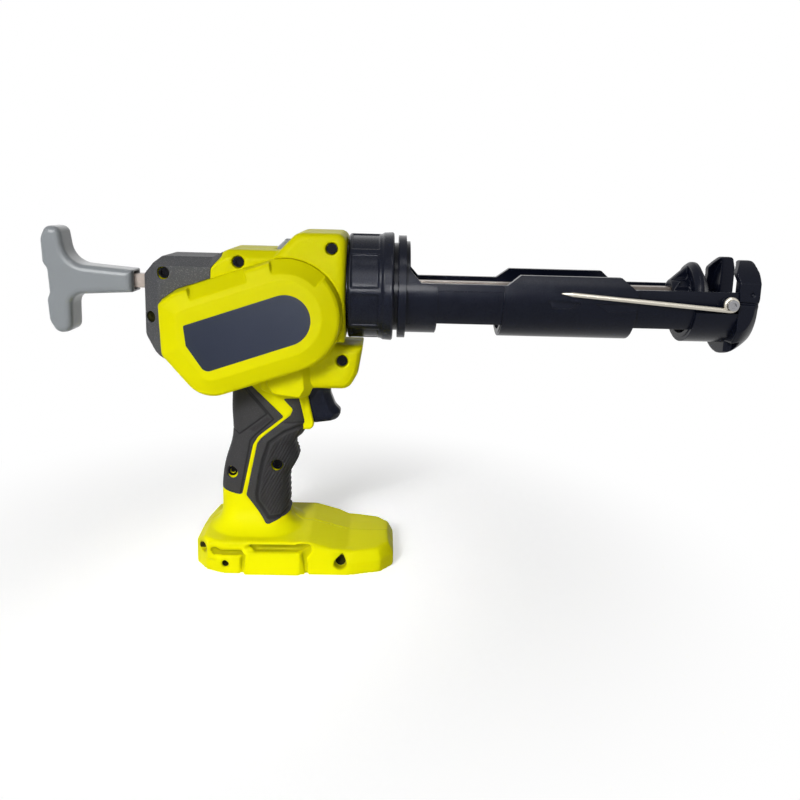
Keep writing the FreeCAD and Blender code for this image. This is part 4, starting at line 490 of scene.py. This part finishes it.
def patterned(piece, pattern):
    """Move a skin's outer face along its normals by the pattern, and keep its painted shade in the "deep"
    attribute.
    The outer face is where the normal leads away from the grip's core."""
    mesh = piece.data
    spot = spots(mesh)
    facing = np.empty(spot.size)
    mesh.vertices.foreach_get("normal", facing)
    facing = facing.reshape(-1, 3)
    outward = spot[:, :2] - grip_core
    lead = (outward * facing[:, :2]).sum(axis=1) / np.linalg.norm(outward, axis=1)
    share = np.clip((lead - 0.1) / 0.3, 0, 1)
    height, tone = pattern(spot[:, 0], spot[:, 2] - BARREL_AXIS)
    mesh.vertices.foreach_set("co", ((spot + facing * (height * share)[:, None]) * mm).ravel())
    mesh.attributes.new("painted_shade", "FLOAT", "POINT").data.foreach_set("value", tone * share)
    mesh.update()


# Its deep colour is painted shade in the skins' grooves, and also darkens their ribbed fields.
grip_skin = moulded("grip_skin", (0.046, 0.045, 0.047), (0.038, 0.037, 0.039), 0.62, 0.35 * mm, 0.05 * mm,
                    0.10, painted_shade=(0.012, 0.012, 0.013), speckle_highlight=0.25)
for side in ("right", "left"):
    patterned(softened(f"grip_front_panel_{side}", grip_skin, 0.36 * mm), front_pattern)
    patterned(softened(f"grip_rear_panel_{side}", grip_skin, 0.40 * mm), rear_pattern)


# Rating label: a dark navy film, cut to shape and stuck into a shallow recess of the cover's flat top.
# Its face is smoother than the nylon round it, so it shines a little more.
def dress(material, *nodes):
    """Give CAD nodes their finish."""
    for name in nodes:
        node = frame["nodes"][name]
        node.data.materials.clear()
        node.data.materials.append(material)


film = moulded("label_film", (0.020, 0.026, 0.044), (0.024, 0.030, 0.050), 0.34, 0.25 * mm, 0.004 * mm, 0.12)
dress(film, "rating_label")

# Collar: the ring that locks the barrel to the nose, turned by hand round the spigot.
# It is moulded in black glass-filled nylon, with finger panels round it, and a sheen from the lamps that
# painted highlight specks on the grain's crests make grainy.
BLACK = (0.0042, 0.0056, 0.0135)
BLACK_SHADE = (0.0062, 0.0082, 0.0180)
collar_nylon = moulded("collar_nylon", BLACK, BLACK_SHADE, 0.27, 0.50 * mm, 0.034 * mm, 0.12, speckle_highlight=0.5)
softened("collar", collar_nylon, 0.55 * mm, 2)

# Cradle and spigot: the half-pipe that carries the cartridge, and the mount on the nose that it turns on.
# Both are thin-walled mouldings of black nylon; their finish turns the light softly over the thin edges.
cradle_nylon = moulded("cradle_nylon", BLACK, BLACK_SHADE, 0.28, 0.4 * mm, 0.016 * mm, 0.11, edge=0.6 * mm)
dress(cradle_nylon, "cradle", "barrel_mount")

# Front yoke: the black nylon end stop that holds the cartridge's shoulder, with a slot for the nozzle.
# It is pinned to the cradle through its cheeks, which carry a hinge line and a dimple on each side.
black_nylon = moulded("black_nylon", BLACK, BLACK_SHADE, 0.28, 0.4 * mm, 0.016 * mm, 0.11)
yoke_pocket = prism([(280.0, 150.0), (289.0, 150.0), (289.5, 162.0), (281.0, 159.5)], -25, -13)
hinge_line = [(284.2, 187.0), (301.0, 186.4), (301.0, 188.0), (284.2, 188.7)]
hinge_dimple = disc(292.3, 193.5, 1.4)
hinge_marks = [prism(outline, y_sign * 29.3, y_sign * 36)
               for side, y_sign in SIDES for outline in (hinge_line, hinge_dimple)]
yoke = softened("front_yoke", black_nylon, 0.55 * mm, 2, cut=[yoke_pocket, *hinge_marks])


def round_foot(x, y, z, centre=185.0, rear=287.0, front=299.5):
    """The yoke's lower half tapers to the front: points outside a cone about its centre are drawn onto it.
    Above the centre the taper fades out over 8 mm."""
    limit = 34.4 - 8.5 * np.clip((x - rear) / (front - rear), 0, 1) ** 1.5
    share = np.clip(limit / np.maximum(np.hypot(y, z - centre), 1.0), 0, 1)
    share = 1 - (1 - share) * np.clip((191 - z) / 8, 0, 1)
    return x, y * share, centre + (z - centre) * share


reshaped(yoke, round_foot)

# Piston: the black nylon head on the rod's front end, which pushes the cartridge's floor forward.
# Four tapering webs join its hub to its rim, with moulded pockets between them.
hub = 8.0
rim = 20.4
web_rear = 248.0
web_front = 260.5
half_web = 2.0
pocket_rear = 246.0
pocket_front = 259.0
web_side = 2.2
hub_side = 9.2
beyond = 30.0
webs = []
pockets = []
for sign in (-1, 1):
    low = BARREL_AXIS - half_web
    high = BARREL_AXIS + half_web
    root = [(web_rear, low), (web_front, low), (web_front, high), (web_rear, high)]
    tip = [(web_front - 0.3, low), (web_front, low), (web_front, high), (web_front - 0.3, high)]
    webs.append(prism(root, sign * hub, sign * rim, tip))
    upright = [(web_rear, hub), (web_front, hub), (web_front, rim), (web_rear, hub + 1)]
    webs.append(prism([(x, BARREL_AXIS + sign * out) for x, out in upright], -half_web, half_web))
    for inner, near, far in ((web_side, hub_side, beyond), (hub_side, web_side, hub_side)):
        pocket = [(pocket_rear, near), (pocket_front, near), (pocket_front, far), (pocket_rear, far)]
        for way in (1, -1):
            outline = [(x, BARREL_AXIS + way * out) for x, out in pocket]
            pockets.append(prism(outline, sign * inner, sign * beyond))
softened("piston", black_nylon, 0.45 * mm, 2, added=webs, cut=pockets)

# Trigger: a black nylon slide in the front of the grip, held by the halves and pushed out by the switch.
# Its finger front narrows from a crease, and a shoulder closes the gap under the nose.
shoulder = prism([(6.0, 113.5), (6.0, 122.2), (13.0, 122.2), (13.0, 113.5)], -9, 9)
trigger = softened("trigger", black_nylon, 0.45 * mm, 6, added=[shoulder])


def finger_lip(x, y, z, top=122.5, crease=4.5):
    """The trigger narrows to half its width at its finger front, from a crease that far behind it."""
    front = [(22.6, top + 2), (21.4, top - 5), (25.0, top - 14), (29.5, top - 18.5), (26.5, top - 24)]
    return x, y * (1 - 0.5 * np.clip(1 - line_distance(x, z, front) / crease, 0, 1)), z


reshaped(trigger, finger_lip)

# T-handle and speed dial: mid-grey moulded plastic. The handle is pinned across the rod's rear end,
# which sits in a square socket in its neck. The dial turns in a slot on top, on the potentiometer's shaft.
grey_plastic = moulded("grey_plastic", (0.300, 0.322, 0.342), (0.272, 0.293, 0.311), 0.30, 0.45 * mm,
                       0.012 * mm, 0.35)
socket_rear = -114.0
neck_end = -100.0
half_socket = 5.8
low = BARREL_AXIS - half_socket
high = BARREL_AXIS + half_socket
socket = prism([(socket_rear, low), (neck_end, low), (neck_end, high), (socket_rear, high)], -half_socket,
               half_socket)
softened("t_handle", grey_plastic, 0.6 * mm, 5, cut=[socket])
softened("speed_dial", grey_plastic, 0.35 * mm, 2)


# Plunger rod and piercing wire: a square bar of cold-drawn steel with rack teeth milled into its underside,
# and a bent and pointed steel wire on a screw at the cradle's side. Drawing leaves fine streaks along both.
def metal(name, colour, shade, roughness, stretch):
    """Worked metal: streaks drawn out along one axis, in colour, roughness and height."""
    made, shader, place = new_material(name)
    streak = noise(place, 0.35 * mm, 3.0, stretch)
    cloud = noise(place, 9 * mm, 2.0)
    feed(shader, Base_Color=(streak * 0.6 + cloud * 0.4).mix(colour, shade), Metallic=1.0,
         Roughness=roughness + (streak - 0.5) * 0.2 + (cloud - 0.5) * 0.1,
         Normal=bump(streak, 0.4, 0.01 * mm))
    return made


drawn_steel = metal("drawn_steel", (0.30, 0.26, 0.23), (0.18, 0.155, 0.14), 0.40, (40.0, 1.0, 1.0))
warm_wire = metal("warm_wire", (0.58, 0.55, 0.48), (0.42, 0.39, 0.33), 0.30, (40.0, 1.0, 1.0))
dress(drawn_steel, "plunger_rod")
dress(warm_wire, "puncture_wire")


# Fasteners: blackened screws that close the clamshell, sunk in their bosses, and the yoke's black pins.
# The wire's pivot screw and the handle's pin are left bright.
def sunk_head(x, y, z, depth=2.5):
    """The rear grip screw's head goes that much deeper, under the grip's round corner."""
    return x, y + depth * ((z < 100) & (x < -30) & (y < -8)), z


black_oxide = metal("black_oxide", (0.006, 0.006, 0.007), (0.004, 0.004, 0.005), 0.50, (1.0, 6.0, 1.0))
screw_steel = metal("screw_steel", (0.30, 0.30, 0.31), (0.20, 0.20, 0.21), 0.38, (1.0, 6.0, 1.0))
reshaped(copied("housing_screws", black_oxide), sunk_head)
dress(black_oxide, "yoke_pins")
dress(screw_steel, "wire_pivot_screw", "t_handle_pin")

# Gear train and motor: cut steel gears between two punched plates on posts, and the motor's drawn steel can.
# The shafts run in sintered bronze bushes; the bearing block and the gearbox are die-cast.
cut_steel = metal("cut_steel", (0.52, 0.52, 0.52), (0.38, 0.38, 0.38), 0.32, (1.0, 20.0, 1.0))
bronze = metal("sintered_bronze", (0.62, 0.46, 0.20), (0.50, 0.36, 0.15), 0.35, (1.0, 8.0, 1.0))
alloy = metal("die_cast_alloy", (0.60, 0.60, 0.62), (0.48, 0.48, 0.50), 0.45, (1.0, 1.0, 1.0))
dress(cut_steel, "pinion_shaft", "final_gear", "idler_gear", "idler_axle", "drive_pinion",
      "inner_gear_plate", "outer_gear_plate", "gear_posts", "motor_can")
dress(bronze, "pinion_bush_inner", "pinion_bush_outer", "pinion_bush_left", "battery_terminals")
dress(alloy, "pinion_bearing_block", "gearbox")

# Inner plastics and circuit board: dark nylon carriers, guides and switch bodies, clipped between the halves.
# The board is green glass-epoxy under a smooth solder resist.
inner_nylon = moulded("inner_nylon", (0.030, 0.030, 0.033), (0.045, 0.045, 0.048), 0.48, 0.5 * mm, 0.02 * mm,
                      0.3)
board_resin = moulded("board_resin", (0.020, 0.110, 0.045), (0.028, 0.140, 0.060), 0.35, 0.8 * mm, 0.01 * mm,
                      0.4)
dress(inner_nylon, "motor_end_bell", "rod_bush_rear", "rod_bush_front", "trigger_switch",
      "speed_potentiometer", "battery_socket", "terminal_block")
dress(board_resin, "controller_board")

# Studio floor and backdrop: a pale floor that looks white to the camera, with a soft shadow near the tool.
# The world is white to the camera and in reflections, and lights the tool only faintly.
floor_half = 6.0
shadow_end = 0.34
shadow_core = 0.10
floor_lift = 0.52
faint = 0.12
floor_mesh = bpy.data.meshes.new("floor")
corners = floor_half * np.array([(-1, -1, 0), (1, -1, 0), (1, 1, 0), (-1, 1, 0)])
floor_mesh.from_pydata(corners, [], [(0, 1, 2, 3)])
floor = bpy.data.objects.new("floor", floor_mesh)
bpy.context.scene.collection.objects.link(floor)


def white_rays(tree):
    """1 for what the camera sees, straight or in a mirror or glass, and 0 for light that falls on things."""
    ways = [Value(tree).node("ShaderNodeLightPath", {}, {}, way)
            for way in ("Is Camera Ray", "Is Glossy Ray", "Is Transmission Ray")]
    return ways[0].math("MAXIMUM", ways[0].math("MAXIMUM", ways[0], ways[1]), ways[2])


floor_paint, floor_shader, floor_place = new_material("floor_paint")
floor_tree = floor_paint.node_tree
feed(floor_shader, Base_Color=(0.80, 0.80, 0.80, 1.0), Roughness=0.9, Specular_IOR_Level=0.0)
rays = white_rays(floor_tree)
away = floor_place.node("ShaderNodeVectorMath", {"operation": "LENGTH"}, {0: floor_place}, "Value")
near = away.step(shadow_end, shadow_core)
painted = Value(floor_tree, floor_shader.outputs[0])
white = (1.0, 1.0, 1.0, 1.0)
lift = floor_place.node("ShaderNodeEmission", {}, {"Color": white, "Strength": rays * floor_lift})
lifted = floor_place.node("ShaderNodeAddShader", {}, {0: painted, 1: lift})
glow = floor_place.node("ShaderNodeEmission", {}, {"Color": white, "Strength": 1.0})
lit = floor_place.node("ShaderNodeMixShader", {}, {0: rays * (1.0 - near), 1: lifted, 2: glow})
floor_tree.links.new(lit.socket, floor_tree.nodes["Material Output"].inputs["Surface"])
floor_mesh.materials.append(floor_paint)

world = bpy.data.worlds.new("studio")
bpy.context.scene.world = world
world.use_nodes = True
sky = world.node_tree.nodes["Background"]
sky.inputs["Color"].default_value = white
sky_strength = white_rays(world.node_tree) * (1.0 - faint) + faint
world.node_tree.links.new(sky_strength.socket, sky.inputs["Strength"])


# Lamps: a large soft key beside the camera, a weak fill and a back lamp, and a narrow one on the base.
# Three more only show as reflections, and give the black nylon its sheen, its streak and the collar's glint.
def soft_lamp(name, place, size, power, aim=(0.06, 0.0, 0.15), spread=180, height=None):
    """An area lamp at place, turned to the aim, whose light keeps within a spread in degrees.
    It is square unless a height is given. Gives the lamp's object."""
    lamp = bpy.data.lights.new(name, "AREA")
    lamp.shape = "RECTANGLE"
    lamp.size = size
    lamp.size_y = height or size
    lamp.energy = power
    lamp.spread = math.radians(spread)
    made = bpy.data.objects.new(name, lamp)
    facing = (Vector(aim) - Vector(place)).to_track_quat("-Z", "Y").to_matrix().to_4x4()
    made.matrix_world = Matrix.Translation(place) @ facing
    bpy.context.scene.collection.objects.link(made)
    return made


soft_lamp("key_lamp", (-0.50, -1.15, 0.69), 0.45, 11.2)
soft_lamp("foot_lamp", (-0.26, -0.76, 0.55), 0.2, 0.070, (-0.01, -0.03, 0.0), 15)
soft_lamp("fill_lamp", (0.80, -1.1, 0.30), 0.9, 0.6)
soft_lamp("back_lamp", (-0.3, 1.2, 0.8), 1.0, 2.0)
sheen = soft_lamp("sheen_lamp", (0.10, -1.07, 0.74), 0.9, 7.0, height=0.45)
streak = soft_lamp("streak_lamp", (0.20, -0.55, 1.15), 0.14, 2.0)
glint = soft_lamp("collar_lamp", (0.02, -1.0, 0.235), 0.25, 0.075, (0.046, 0.0, 0.190), 12, height=0.14)
for reflected in (sheen, streak, glint):
    reflected.visible_diffuse = False

# Camera: the photograph's own view, from the tool's right side, a little above the barrel.
# Its lens is given by the picture's width and focal length in pixels, and shifted to the barrel's row.
picture = 800
focal_pixels = 836.0
axis_row = 357.5
viewpoint = (54.7 * mm, -558.6 * mm, 250.2 * mm)
pitch, yaw, roll = (math.radians(angle) for angle in (11.0, 1.4, 1.6))
forward = Vector((math.sin(yaw) * math.cos(pitch), math.cos(yaw) * math.cos(pitch), -math.sin(pitch)))
level = Vector((math.cos(yaw), -math.sin(yaw), 0.0))
upward = level.cross(forward)
right = math.cos(roll) * level + math.sin(roll) * upward
up = math.cos(roll) * upward - math.sin(roll) * level
lens = bpy.data.cameras.new("camera")
lens.sensor_width = 36.0
lens.lens = focal_pixels / picture * lens.sensor_width
lens.shift_y = (axis_row - picture / 2) / picture
lens.clip_start = 0.01
camera = bpy.data.objects.new("camera", lens)
outlook = Matrix((right, up, -forward)).transposed().to_4x4()
camera.matrix_world = Matrix.Translation(viewpoint) @ outlook
bpy.context.scene.collection.objects.link(camera)
bpy.context.scene.camera = camera
bpy.context.scene.view_settings.view_transform = "Standard"
